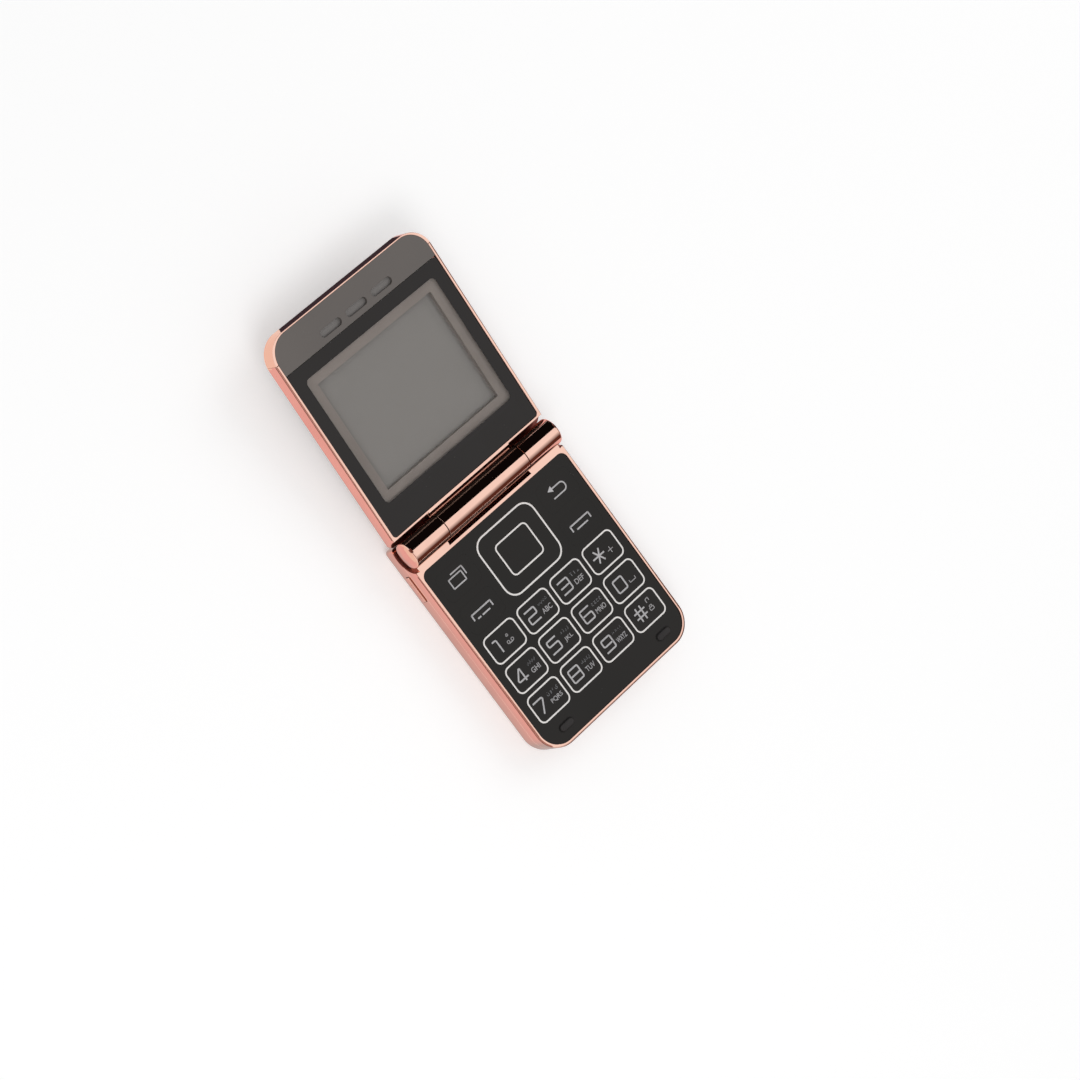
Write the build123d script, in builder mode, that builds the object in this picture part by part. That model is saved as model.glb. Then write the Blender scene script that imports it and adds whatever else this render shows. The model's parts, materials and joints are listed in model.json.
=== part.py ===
from build123d import *
import math
import os

os.makedirs("parts", exist_ok=True)

# Flip phone, open to its stop and lying on its back, as an assembly of separate pieces.
# Millimetres. X runs along the hinge, Y from the keypad's end towards the lid's end, Z is up.
# The origin is on the table, under the base's flat back. "Reach" is a distance from the hinge
# axis, down the base or up the lid; "inset" is a distance in from a half's outer side.

# ---------------------------------------------------------------- sizes of the whole phone
body_width = 61.8            # across both halves
base_height = 10.2           # table to the keypad face
lid_depth = 5.8              # lens face to the lid's back
base_reach = 72.3            # hinge axis to the keypad end
lid_reach = 72.2             # hinge axis to the lid's far end
open_lift = 6.5              # degrees the open lid rises above the base
rim_width = 0.9              # chrome rim beside the keypad panel and the lens
rim_proud = 0.3              # rim above the panel and the lens
wall = 1.5                   # side walls of both halves

# ---------------------------------------------------------------- fits
seat_fit = 0.02              # radial clearance of pieces that are pressed in
turn_fit = 0.05              # radial clearance of pieces that turn in each other
seam = 0.03                  # gap between pieces that are fixed side by side
cover_fit = 0.1              # gap round the covers
part_fit = 0.2               # gap round the parts that sit in a pocket

# ---------------------------------------------------------------- hinge
hinge_y = 38.0
hinge_rise = 0.8             # axis above the keypad face, and above the lens face
barrel_radius = 4.35
cap_inset = 0.55             # body's side to the outer face of the end caps
cap_thick = 0.7
cap_round = 0.5
spigot_length = 1.75
knuckle_split = 16.8         # seam between middle and end knuckles
knuckle_gap = 0.15           # each side of a seam
bore_radius = 3.0
saddle_radius = 5.5          # hollow that both halves leave round the barrel
base_lip = 3.4               # how far the lower shell reaches past the axis
base_lip_drop = 5.05         # top of that lip below the axis
lid_lip = 3.1                # where the lid's back shell starts
base_neck_drop = 3.6         # underside of the end knuckles' necks
lid_neck_drop = 4.3          # underside of the middle knuckle's neck
lid_neck_reach = 6.4
lid_hinge_rim = 5.15         # where the lid's rim starts at the middle knuckle
shaft_radius = 1.2
cam_length = 7.0
spring_wire = 0.2            # radius
spring_radius = 1.85
spring_pitch = 1.0
bush_radius = 2.3            # inside
bush_inner_x = 11.0
coil_outer = 1.9             # wound ribbon cable inside the bush
coil_inner = 1.2
coil_start_x = 5.0
ribbon_thick = 0.2
ribbon_half = 2.9
ribbon_offset = 4.2          # knuckle seam to the middle of the base's ribbon
lid_ribbon_x = 7.5
lid_ribbon_half = 2.5

# ---------------------------------------------------------------- keypad face
panel_start = 6.6
panel_thick = 1.0
panel_fit = 0.04
panel_corner = 7.06
panel_corner_top = 2.4
key_margin = 2.665           # panel's edge to the outer keys
column_gap = 1.37
row_gap = 1.39
rows_gap = 1.815             # call key to the first row
bumper_gap = 4.295           # last row to the bumpers
key_corner = 2.0
key_gap = 0.12
key_flange = 0.4
soft_key_extra = 0.56        # menu, back, call and end keys are this much wider
soft_key_length = 9.0
menu_row = 14.6
call_row = 26.2
nav_row = 19.96
nav_gap = 2.765
nav_length = 20.35
nav_corner = 4.14
nav_band_x = 5.05            # width of the ring beside the OK key
nav_band_y = 4.7
nav_hollow = 1.42            # ring is hollow this far outside the OK key
ok_corner = 1.7
bumper_inset = 4.9
bumper_x_inset = 9.7
bumper_length = 5.2
bumper_width = 2.1
bumper_height = 0.8          # above the panel
bumper_sink = 0.4
bumper_round = 0.35

# ---------------------------------------------------------------- layers under the keypad
ledge_thick = 0.8
ledge_inset = 2.5
ledge_end_inset = 3.3
key_space = 1.3              # board to ledge
board_thick = 0.8
board_inset = 2.1
film_thick = 0.15
dome_radius = 2.0
dome_height = 0.3
dome_gap = 0.3               # dome to the key's plunger
plunger_radius = 1.0
mat_thick = 0.35
flange_drop = 0.3            # key flange above the ledge's underside
flange_fit = 0.08            # key flange below the panel
nav_plate = 0.2
nub_drop = 0.15
hollow_start = 8.2

# ---------------------------------------------------------------- rear housing
cover_thick = 1.0
cover_inset = 2.6
cover_start = 5.2
roof_drop = 0.75             # board to the roof over the battery
pin_space = 0.1              # between roof and board
bay_start = 30.9
bay_end_inset = 6.7
bay_inset = 3.7
pocket_start = 9.6
pocket_end = 29.7
pocket_inset = 4.7
shell_round = 2.4
edge_break = 0.12
tunnel_half = 11.2
tunnel_floor = 0.25          # above the cover's seat
tunnel_end = -2.0
saddle_wall = 1.2

# ---------------------------------------------------------------- parts inside the base
sim_inset = 13.2             # pocket's right side to the SIM holder
sim_width = 15.0
sim_start = 17.4
sim_length = 11.8
sim_drop = 1.4
shield_start = 11.1
shield_length = 15.8
shield_drop = 1.3
shield_skin = 0.2
shield_gap = 3.1             # to the SIM holder
shield_margin = 2.3          # to the pocket's left side
contact_x = -14.0
contact_half = 4.0
contact_drop = 3.2
contact_pitch = 2.5
speaker_inset = 10.2
speaker_row = 13.4
speaker_width = 17.0
speaker_length = 6.8
speaker_space = 1.2          # above the battery cover
motor_inset = 5.7
motor_row = 23.4
motor_radius = 4.5
motor_height = 3.15
mic_x = 16.0
mic_half = 1.8
mic_hole_radius = 0.45
usb_half = 3.75
usb_height = 2.4
usb_length = 5.2
usb_skin = 0.25
usb_gap = 0.25
antenna_strip = 0.8

# ---------------------------------------------------------------- screws
screw_radius = 0.68
screw_head = 1.2
head_height = 1.0
head_socket = 0.45
screw_seat = 1.3             # above the battery cover
boss_radius = 1.4
upper_screw = (13.0, 8.0)    # across, reach
lower_screw_x = 12.0
lower_screw_inset = 3.9
lid_screw_radius = 0.5
lid_head_radius = 1.1
lid_head_height = 0.5
lid_boss_radius = 1.7

# ---------------------------------------------------------------- side key
side_key_row = 10.2
side_key_drop = 1.9          # below the parting line
side_key_length = 8.6
side_key_height = 2.0
side_key_proud = 0.45
side_key_fit = 0.15
side_flange = 0.4
side_flange_length = 10.2
side_switch_reach = 2.6
side_tick_length = 2.2
side_tick_reach = 1.9

# ---------------------------------------------------------------- lid
lens_start = 6.06
lens_thick = 1.0
lens_corner = 1.2
deck_thick = 0.7
lid_corner = 7.0
lid_end_rim = 0.4
cover_length = 10.15         # earpiece cover
cover_gap = 0.15
trim_length = 6.7
trim_gap = 1.0               # lower edge of the top trim above the lid's back
split_drop = 1.7             # lens to the seam between frame and back shell
lid_skin = 0.9
lid_round = 1.1
window_side = 4.135          # lens edge to the window
window_start = 8.96
window_end = 4.32
screen_side = 3.115          # window edge to the screen
screen_start = 2.84
screen_end = 3.03
window_border = 0.33
display_frame_thick = 1.9
display_thick = 1.25
slot_length = 8.0
slot_width = 2.4
slot_pitch = 10.1
slot_inset = 7.75
mesh_width = 30.0
mesh_length = 3.9
mesh_thick = 0.3
receiver_width = 15.6
receiver_length = 4.7
receiver_height = 2.2
plate_thick = 0.45
plate_inset = 3.9
plate_start = 9.0
plate_end_inset = 4.2
lid_board_half = 22.0
lid_board_start = 8.2
lid_board_length = 5.6
magnet_half = 3.0
magnet_x = -22.0
magnet_inset = 12.2
magnet_thick = 1.6

# ---------------------------------------------------------------- groove under both rims
groove_top = 0.05            # above the panel's face
groove_bottom = -0.3
groove_depth = 0.25

# ---------------------------------------------------------------- derived: base
half_body = body_width / 2
half_panel = half_body - rim_width
hinge_z = base_height + hinge_rise
rim_top = base_height + rim_proud
panel_end = base_reach - rim_width
panel_low = base_height - panel_thick
ledge_low = panel_low - ledge_thick
board_top = ledge_low - key_space
frame_split = board_top - board_thick
roof_top = frame_split - pin_space
bay_roof = frame_split - roof_drop
plunger_low = board_top + film_thick + dome_height + dome_gap
flange_low = ledge_low + flange_drop
flange_high = panel_low - flange_fit
base_corner = panel_corner + rim_width
bay_end = base_reach - bay_end_inset
bay_half = half_body - bay_inset
pocket_half = half_body - pocket_inset
tunnel_low = cover_thick + tunnel_floor
tunnel_high = hinge_z - saddle_radius - saddle_wall

key_width = (2 * (half_panel - key_margin) - 3 * column_gap) / 4
column_pitch = key_width + column_gap
bumper_row = base_reach - bumper_inset
bumper_x = half_body - bumper_x_inset
rows_start = call_row + soft_key_length / 2 + rows_gap
key_length = (bumper_row - bumper_gap - rows_start - 2 * row_gap) / 3
first_row = rows_start + key_length / 2
row_pitch = key_length + row_gap
outer_column = 1.5 * column_pitch
soft_key_width = key_width + soft_key_extra
nav_width = 2 * (outer_column - soft_key_width / 2 - nav_gap)
ok_width = nav_width - 2 * nav_band_x
ok_length = nav_length - 2 * nav_band_y
nav_low = ledge_low + flange_drop - nav_plate
carrier_low = plunger_low + nav_plate / 2
nub_low = carrier_low - nub_drop

# ---------------------------------------------------------------- derived: hinge and lid
barrel_end = half_body - cap_inset - cap_thick
knuckle_in = knuckle_split - knuckle_gap
knuckle_out = knuckle_split + knuckle_gap
spigot_end = barrel_end - spigot_length
insert_end = spigot_end - 0.3
ribbon_x = knuckle_split + ribbon_offset
ribbon_low = panel_low - 0.45
ribbon_high = ribbon_low + ribbon_thick

lid_face = -hinge_rise
lid_rim = lid_face + rim_proud
lid_back = lid_face - lid_depth
lens_low = lid_face - lens_thick
deck_low = lens_low - deck_thick
lid_split = lens_low - split_drop
trim_low = lid_back + trim_gap
lid_floor = lid_back + lid_skin
trim_start = lid_reach - trim_length
cover_end = lid_reach - lid_end_rim
lens_end = cover_end - cover_length - cover_gap
lid_outer_corner = lid_corner + lid_end_rim
window_half = half_panel - window_side
window_low = lens_start + window_start
window_high = lens_end - window_end
screen_half = window_half - screen_side
screen_low = window_low + screen_start
screen_high = window_high - screen_end
display_low = lens_low - display_frame_thick
slot_row = lid_reach - slot_inset

table = Plane.XY
tilt = math.radians(open_lift)
lid_normal = (0, -math.sin(tilt), math.cos(tilt))
lid = Plane(origin=(0, hinge_y, hinge_z), x_dir=(1, 0, 0), z_dir=lid_normal)
lid_up = Axis(origin=(0, hinge_y, hinge_z), direction=lid_normal)


# ================================================================ helpers
def down(reach):
    """Y of a point that far down the base from the hinge axis."""
    return hinge_y - reach


def block(plane, low, high, x_low, x_high, y_low, y_high, r_low=0.0, r_high=0.0, mode=Mode.ADD):
    """Flat block between two heights, with its own corner radius at each end."""
    with BuildSketch(plane.offset(low)) as outline:
        with Locations(((x_low + x_high) / 2, (y_low + y_high) / 2)):
            Rectangle(x_high - x_low, y_high - y_low)
        if r_low > 0:
            fillet(outline.vertices().group_by(Axis.Y)[0], radius=r_low)
        if r_high > 0:
            fillet(outline.vertices().group_by(Axis.Y)[-1], radius=r_high)
    extrude(outline.sketch, amount=high - low, mode=mode)


def base_layer(low, high, inset, start, end_inset=None, r_start=0.0, mode=Mode.ADD):
    """Layer with the base's outline, set in from its sides and its keypad end."""
    end = base_reach - (inset if end_inset is None else end_inset)
    block(table, low, high, inset - half_body, half_body - inset, down(end), down(start),
          base_corner - inset, r_start, mode)


def lid_layer(low, high, inset, start, end, r_start=0.0, r_end=0.0, mode=Mode.ADD):
    """Layer across the lid, set in from its sides, between two reaches."""
    block(lid, low, high, inset - half_body, half_body - inset, start, end, r_start, r_end, mode)


def base_box(low, high, x_low, x_high, far, near, r=0.0, mode=Mode.ADD):
    """Block in the base between two heights, two places across and two reaches."""
    block(table, low, high, x_low, x_high, down(far), down(near), r, r, mode)


def pad(plane, low, high, x, y, width, length, corner, mode=Mode.ADD):
    """Rounded rectangle about a point, between two heights."""
    with BuildSketch(plane.offset(low)) as outline:
        with Locations((x, y)):
            RectangleRounded(width, length, corner)
    extrude(outline.sketch, amount=high - low, mode=mode)


def posts(plane, low, high, radius, points, mode=Mode.ADD):
    """Round posts or holes between two heights."""
    with BuildSketch(plane.offset(low)) as outline:
        with Locations(*points):
            Circle(radius)
    extrude(outline.sketch, amount=high - low, mode=mode)


def bar(radius, x_low, x_high, mode=Mode.ADD):
    """Round bar along the hinge axis."""
    with BuildSketch(Plane(origin=(x_low, hinge_y, hinge_z), x_dir=(0, 1, 0), z_dir=(1, 0, 0))) as outline:
        Circle(radius)
    extrude(outline.sketch, amount=x_high - x_low, mode=mode)


def saddle():
    """Hollow round the whole barrel."""
    bar(saddle_radius, -half_body - 1, half_body + 1, mode=Mode.SUBTRACT)


def both_ends(low, high):
    """The stretch along the hinge between two places, left and right."""
    return [(-high, -low), (low, high)]


def save(piece, name):
    """Label a finished piece and write its file."""
    piece.part.label = name
    export_step(piece.part, "parts/" + name + ".step")


# ================================================================ places
base_screws = [(side * x, down(reach)) for side in (-1, 1)
               for x, reach in (upper_screw, (lower_screw_x, base_reach - lower_screw_inset))]
lid_screw_places = [(side * (half_body - inset), reach) for side in (-1, 1)
                    for inset, reach in ((3.7, 9.8), (4.9, lid_reach - 5.3))]
key_columns = [(column - 1.5) * column_pitch for column in range(4)]
key_rows = [first_row + row * row_pitch for row in range(3)]
number_keys = [("key_1", "key_2", "key_3", "key_star"),
               ("key_4", "key_5", "key_6", "key_0"),
               ("key_7", "key_8", "key_9", "key_hash")]
soft_keys = [("menu_key", -outer_column, menu_row), ("back_key", outer_column, menu_row),
             ("call_key", -outer_column, call_row), ("end_key", outer_column, call_row)]
key_places = [(x, down(reach)) for reach in key_rows for x in key_columns]
key_places += [(x, down(reach)) for name, x, reach in soft_keys]
ok_place = (0, down(nav_row))
carrier_reach = nav_width / 2 - 3.35
ring_reach = nav_length / 2 - 1.875
carrier_nubs = [(-carrier_reach, down(nav_row)), (carrier_reach, down(nav_row))]
ring_nubs = [(0, down(nav_row - ring_reach)), (0, down(nav_row + ring_reach))]
bumper_places = [(-bumper_x, down(bumper_row)), (bumper_x, down(bumper_row))]

# ================================================================ base: front frame
# Groove that runs round the frame's side, just under the rim.
with BuildPart() as base_groove:
    base_layer(base_height + groove_bottom, base_height + groove_top, -1.0, panel_start)
    base_layer(base_height + groove_bottom, base_height + groove_top, groove_depth, panel_start,
               mode=Mode.SUBTRACT)

with BuildPart() as base_frame:
    base_layer(frame_split, rim_top, 0, 0, r_start=0.4)
    fillet(base_frame.edges().group_by(Axis.Z)[-1], radius=rim_width / 6)
    saddle()
    # pocket for the panel, ledge under it, hollow under the ledge
    block(table, panel_low, rim_top + 1, -half_panel, half_panel, down(panel_end), down(panel_start),
          panel_corner, panel_corner_top, mode=Mode.SUBTRACT)
    base_layer(ledge_low, panel_low, ledge_inset, hollow_start, ledge_end_inset, wall, mode=Mode.SUBTRACT)
    base_layer(frame_split, ledge_low, wall, hollow_start, r_start=wall, mode=Mode.SUBTRACT)
    # end knuckles, with the necks that carry them
    for x_low, x_high in both_ends(knuckle_out, barrel_end):
        base_box(hinge_z - base_neck_drop, rim_top, x_low, x_high, panel_start, 0)
        bar(barrel_radius, x_low, x_high)
    bar(bore_radius, -half_body, half_body, mode=Mode.SUBTRACT)
    # bosses that meet the board, and their screw holes
    posts(table, board_top, ledge_low, boss_radius, base_screws)
    posts(table, frame_split, panel_low - 0.2, screw_radius + seat_fit, base_screws, mode=Mode.SUBTRACT)
    # slot for the ribbon cable through the right neck
    base_box(ribbon_low - cover_fit, ribbon_high + cover_fit, ribbon_x - ribbon_half - part_fit,
             ribbon_x + ribbon_half + part_fit, hollow_start + 0.2, wall, mode=Mode.SUBTRACT)
    # microphone hole in the end wall
    with BuildSketch(Plane(origin=(mic_x, down(base_reach + 1), (board_top + ledge_low) / 2),
                           x_dir=(1, 0, 0), z_dir=(0, 1, 0))) as mic_hole:
        Circle(mic_hole_radius)
    extrude(mic_hole.sketch, amount=2 * wall, mode=Mode.SUBTRACT)
    add(base_groove.part, mode=Mode.SUBTRACT)
save(base_frame, "base_frame")

# ================================================================ base: rear housing
sim_x_high = pocket_half - sim_inset
sim_x_low = sim_x_high - sim_width
shield_x_high = sim_x_low - shield_gap
shield_x_low = shield_margin - pocket_half
usb_high = frame_split - part_fit
usb_low = usb_high - usb_height
side_key_z = frame_split - side_key_drop
side_inner_x = part_fit + wall - half_body
side_board_x = -half_body + 2 * wall + 0.3

with BuildPart() as rear_housing:
    base_layer(0, frame_split, 0, -base_lip, r_start=lid_round)
    fillet(rear_housing.edges().group_by(Axis.Z)[0], radius=shell_round)
    chamfer(rear_housing.edges().group_by(Axis.Z)[-1], length=edge_break)
    saddle()
    block(table, hinge_z - base_lip_drop, frame_split, -half_body - 1, half_body + 1, hinge_y,
          hinge_y + base_lip + 1, mode=Mode.SUBTRACT)
    # recess for the battery cover, battery bay, pocket for the parts under the board
    base_layer(0, cover_thick, cover_inset, cover_start, r_start=2.0, mode=Mode.SUBTRACT)
    base_box(cover_thick, bay_roof, -bay_half, bay_half, bay_end, bay_start, wall, Mode.SUBTRACT)
    base_box(cover_thick, bay_roof, -pocket_half, pocket_half, pocket_end, pocket_start, 1.0, Mode.SUBTRACT)
    base_layer(roof_top, frame_split, board_inset + ledge_thick, hollow_start + 0.6, r_start=1.0,
               mode=Mode.SUBTRACT)
    # hollow under the barrel for the antenna
    base_box(tunnel_low, tunnel_high, -tunnel_half, tunnel_half, pocket_start + 0.5, tunnel_end,
             mode=Mode.SUBTRACT)
    # openings in the roof: SIM holder, shield can, battery contacts
    base_box(bay_roof - 1, frame_split, sim_x_low - part_fit, sim_x_high + part_fit,
             sim_start + sim_length + part_fit, sim_start - part_fit, mode=Mode.SUBTRACT)
    base_box(bay_roof - 1, frame_split, shield_x_low - part_fit, shield_x_high + part_fit,
             shield_start + shield_length + part_fit, shield_start - part_fit, mode=Mode.SUBTRACT)
    base_box(frame_split - contact_drop - part_fit, frame_split, contact_x - contact_half - part_fit,
             contact_x + contact_half + part_fit, bay_start + 0.5, bay_start - 2.3, mode=Mode.SUBTRACT)
    # USB socket: its pocket and the mouth in the end wall
    base_box(usb_low - 0.15, frame_split, -usb_half - usb_gap, usb_half + usb_gap, base_reach + 1,
             base_reach - usb_length - 0.7, mode=Mode.SUBTRACT)
    # screws
    posts(table, cover_thick / 2, cover_thick + screw_seat, screw_head + cover_fit, base_screws,
          mode=Mode.SUBTRACT)
    posts(table, cover_thick, frame_split, screw_radius + 0.07, base_screws, mode=Mode.SUBTRACT)
    # side key: window in the wall and room for its flange and switches
    base_box(side_key_z - side_key_height / 2 - side_key_fit, side_key_z + side_key_height / 2 + side_key_fit,
             -half_body - 1, side_inner_x + 0.5, side_key_row + side_key_length / 2 + side_key_fit,
             side_key_row - side_key_length / 2 - side_key_fit, mode=Mode.SUBTRACT)
    base_box(side_key_z - 1.6, frame_split, wall - half_body, side_board_x,
             side_key_row + side_flange_length / 2 + 0.6, side_key_row - side_flange_length / 2 - part_fit,
             mode=Mode.SUBTRACT)
save(rear_housing, "rear_housing")

with BuildPart() as battery_cover:
    base_layer(0, cover_thick, cover_inset + cover_fit, cover_start + cover_fit, r_start=1.9)
    # finger grip and the loudspeaker's holes
    for step in range(4):
        grip = base_reach - 10.7 - 1.6 * step
        base_box(0, cover_thick / 3, -7.0, 7.0, grip, grip - 0.7, mode=Mode.SUBTRACT)
    speaker_x = pocket_half - speaker_inset
    posts(table, 0, cover_thick, 0.55, [(speaker_x + 2.0 * step, down(speaker_row)) for step in range(-3, 4)],
          mode=Mode.SUBTRACT)
save(battery_cover, "battery_cover")

with BuildPart() as battery:
    base_box(cover_thick, bay_roof - 0.1, 2 * part_fit - bay_half, bay_half - 2 * part_fit,
             bay_end - 2 * part_fit, bay_start + 0.8, 1.2)
save(battery, "battery")

# ================================================================ base: board and what is on it
with BuildPart() as main_board:
    base_layer(frame_split, board_top, board_inset, hollow_start + 0.4, r_start=1.0)
    posts(table, frame_split, board_top, screw_radius + 0.17, base_screws, mode=Mode.SUBTRACT)
save(main_board, "main_board")

with BuildPart() as dome_sheet:
    base_layer(board_top, board_top + film_thick, 3.3, pocket_start - 0.1, 7.5, 1.0)
    with BuildSketch(table.offset(board_top + film_thick)) as domes:
        with Locations(*key_places, ok_place, *carrier_nubs, *ring_nubs):
            Circle(dome_radius)
    extrude(domes.sketch, amount=dome_height, taper=60)
save(dome_sheet, "dome_sheet")

with BuildPart() as keypad_mat:
    base_layer(ledge_low - mat_thick, ledge_low, wall + part_fit, pocket_start, 5.5, 1.0)
    posts(table, ledge_low - mat_thick, ledge_low, plunger_radius + mat_thick, key_places, mode=Mode.SUBTRACT)
    pad(table, ledge_low - mat_thick, ledge_low, 0, down(nav_row + 0.2), nav_width + wall,
        nav_length + wall, 2.0, mode=Mode.SUBTRACT)
save(keypad_mat, "keypad_mat")

with BuildPart() as shield_can:
    base_box(frame_split - shield_drop, frame_split, shield_x_low, shield_x_high,
             shield_start + shield_length, shield_start, 0.6)
    base_box(frame_split - shield_drop + shield_skin, frame_split, shield_x_low + shield_skin,
             shield_x_high - shield_skin, shield_start + shield_length - shield_skin,
             shield_start + shield_skin, 0.4, Mode.SUBTRACT)
save(shield_can, "shield_can")

with BuildPart() as sim_holder:
    base_box(frame_split - sim_drop, frame_split, sim_x_low, sim_x_high, sim_start + sim_length, sim_start, 0.4)
    base_box(frame_split - sim_drop + 0.25, frame_split - 0.25, sim_x_low + 0.7, sim_x_high - 0.7,
             sim_start + sim_length + 1, sim_start + 0.8, mode=Mode.SUBTRACT)
    pad(table, frame_split - sim_drop - 1, frame_split - sim_drop + 0.5, (sim_x_low + sim_x_high) / 2,
        down(sim_start + 7.0), 8.0, 6.0, 0.8, mode=Mode.SUBTRACT)
save(sim_holder, "sim_holder")

with BuildPart() as battery_contacts:
    base_box(frame_split - contact_drop, frame_split, contact_x - contact_half, contact_x + contact_half,
             bay_start + 0.1, bay_start - 2.0)
    for step in (-1, 0, 1):
        x_mid = contact_x + contact_pitch * step
        base_box(frame_split - contact_drop + 0.5, bay_roof - 0.2, x_mid - 0.5, x_mid + 0.5,
                 bay_start + 0.8, bay_start + 0.1)
save(battery_contacts, "battery_contacts")

with BuildPart() as usb_socket:
    usb_end = base_reach - 0.5
    base_box(usb_low, usb_high, -usb_half, usb_half, usb_end, usb_end - usb_length)
    base_box(usb_low + usb_skin, usb_high - usb_skin, usb_skin - usb_half, usb_half - usb_skin,
             usb_end + 1, usb_end - usb_length + 0.6, mode=Mode.SUBTRACT)
    base_box(usb_low + 0.9, usb_low + 1.4, 1.2 - usb_half, usb_half - 1.2, usb_end - 0.8,
             usb_end - usb_length + 0.5)
    base_box(usb_high, frame_split, -usb_half, usb_half, usb_end - 2.2, usb_end - usb_length)
save(usb_socket, "usb_socket")

with BuildPart() as vibration_motor:
    posts(table, bay_roof - motor_height, bay_roof, motor_radius, [(pocket_half - motor_inset, down(motor_row))])
save(vibration_motor, "vibration_motor")

with BuildPart() as loudspeaker:
    speaker_low = cover_thick + speaker_space
    pad(table, speaker_low, bay_roof, speaker_x, down(speaker_row), speaker_width, speaker_length, 2.0)
    pad(table, speaker_low - 0.3, speaker_low, speaker_x, down(speaker_row), speaker_width - 3.0,
        speaker_length - 2.4, wall)
save(loudspeaker, "loudspeaker")

with BuildPart() as microphone:
    base_box(board_top, ledge_low, mic_x - mic_half, mic_x + mic_half, base_reach - board_inset - 0.1,
             base_reach - board_inset - 3.3)
save(microphone, "microphone")

with BuildPart() as antenna:
    base_box(tunnel_low, tunnel_high - 0.3, 0.4 - tunnel_half, tunnel_half - 0.4, 5.0, tunnel_end + 0.3)
    base_box(tunnel_low + antenna_strip, tunnel_high, 0.4 + antenna_strip - tunnel_half,
             tunnel_half - antenna_strip - 0.4, 5.0, tunnel_end + 0.3 + antenna_strip, mode=Mode.SUBTRACT)
save(antenna, "antenna")

with BuildPart() as housing_screws:
    seat_z = cover_thick + screw_seat
    posts(table, seat_z - head_height, seat_z, screw_head, base_screws)
    posts(table, seat_z, panel_low - 0.3, screw_radius, base_screws)
    posts(table, seat_z - head_height, seat_z - head_height / 2, head_socket, base_screws, mode=Mode.SUBTRACT)
save(housing_screws, "housing_screws")

# ================================================================ base: side key
with BuildPart() as side_key:
    base_box(side_key_z - side_key_height / 2, side_key_z + side_key_height / 2, -half_body - side_key_proud,
             side_inner_x, side_key_row + side_key_length / 2, side_key_row - side_key_length / 2)
    fillet(side_key.edges().filter_by(Axis.Z).group_by(Axis.X)[0], radius=0.35)
    fillet(side_key.edges().filter_by(Axis.Y).group_by(Axis.X)[0], radius=0.25)
    # flange that keeps the key in, and the nub it rocks on
    base_box(side_key_z - side_key_height / 2 - side_flange, side_key_z + side_key_height / 2 + side_flange,
             side_inner_x, side_inner_x + side_flange, side_key_row + side_flange_length / 2,
             side_key_row - side_flange_length / 2)
    base_box(side_key_z - 1.0, side_key_z + 1.0, side_inner_x + side_flange, side_board_x - 0.4,
             side_key_row + 0.3, side_key_row - 0.3)
    for side in (-1, 1):
        reach = side_key_row + side * side_switch_reach
        base_box(side_key_z - 0.4, side_key_z + 0.4, side_inner_x + side_flange,
                 side_inner_x + side_flange + 0.35, reach + 0.4, reach - 0.4)
        # raised tick that the finger feels
        tick = side_key_row + side * side_tick_reach
        base_box(side_key_z - 0.2, side_key_z + 0.2, -half_body - side_key_proud - 0.1, -half_body,
                 tick + side_tick_length / 2, tick - side_tick_length / 2)
save(side_key, "side_key")

with BuildPart() as side_switches:
    base_box(side_key_z - 1.6, frame_split, side_board_x - 0.35, side_board_x,
             side_key_row + side_flange_length / 2 + 0.5, side_key_row - side_flange_length / 2 - 0.1)
    for side in (-1, 1):
        reach = side_key_row + side * side_switch_reach
        base_box(side_key_z - 1.0, side_key_z + 1.0, side_board_x - 0.7, side_board_x - 0.35,
                 reach + 1.3, reach - 1.3)
save(side_switches, "side_switches")

# ================================================================ keypad: panel, keys, bumpers
key_sizes = [(x, y, key_width, key_length) for x, y in key_places[:12]]
key_sizes += [(x, y, soft_key_width, soft_key_length) for x, y in key_places[12:]]

with BuildPart() as keypad_panel:
    block(table, panel_low, base_height, panel_fit - half_panel, half_panel - panel_fit,
          down(panel_end - panel_fit), down(panel_start + panel_fit), panel_corner, panel_corner_top)
    for x, y, width, length in key_sizes:
        pad(table, panel_low, base_height, x, y, width + 2 * key_gap, length + 2 * key_gap,
            key_corner + key_gap, mode=Mode.SUBTRACT)
    pad(table, panel_low, base_height, 0, down(nav_row), nav_width + 2 * key_gap,
        nav_length + 2 * key_gap, nav_corner + key_gap, mode=Mode.SUBTRACT)
    for x, y in bumper_places:
        pad(table, base_height - bumper_sink, base_height, x, y, bumper_length, bumper_width,
            bumper_width / 2 - seat_fit, mode=Mode.SUBTRACT)
save(keypad_panel, "keypad_panel")


def press_key(name, x, reach, width, length, corner, flange_top):
    """Flat key: cap flush with the panel, flange under it, plunger over its dome."""
    with BuildPart() as key:
        pad(table, flange_low, base_height, x, down(reach), width, length, corner)
        pad(table, flange_low, flange_top, x, down(reach), width + 2 * key_flange, length + 2 * key_flange,
            corner + key_flange)
        posts(table, plunger_low, flange_low, plunger_radius, [(x, down(reach))])
    save(key, name)


for names, reach in zip(number_keys, key_rows):
    for name, x in zip(names, key_columns):
        press_key(name, x, reach, key_width, key_length, key_corner, flange_high)
for name, x, reach in soft_keys:
    press_key(name, x, reach, soft_key_width, soft_key_length, key_corner, flange_high)
press_key("ok_key", 0, nav_row, ok_width, ok_length, ok_corner, flange_low + nav_plate)

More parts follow.
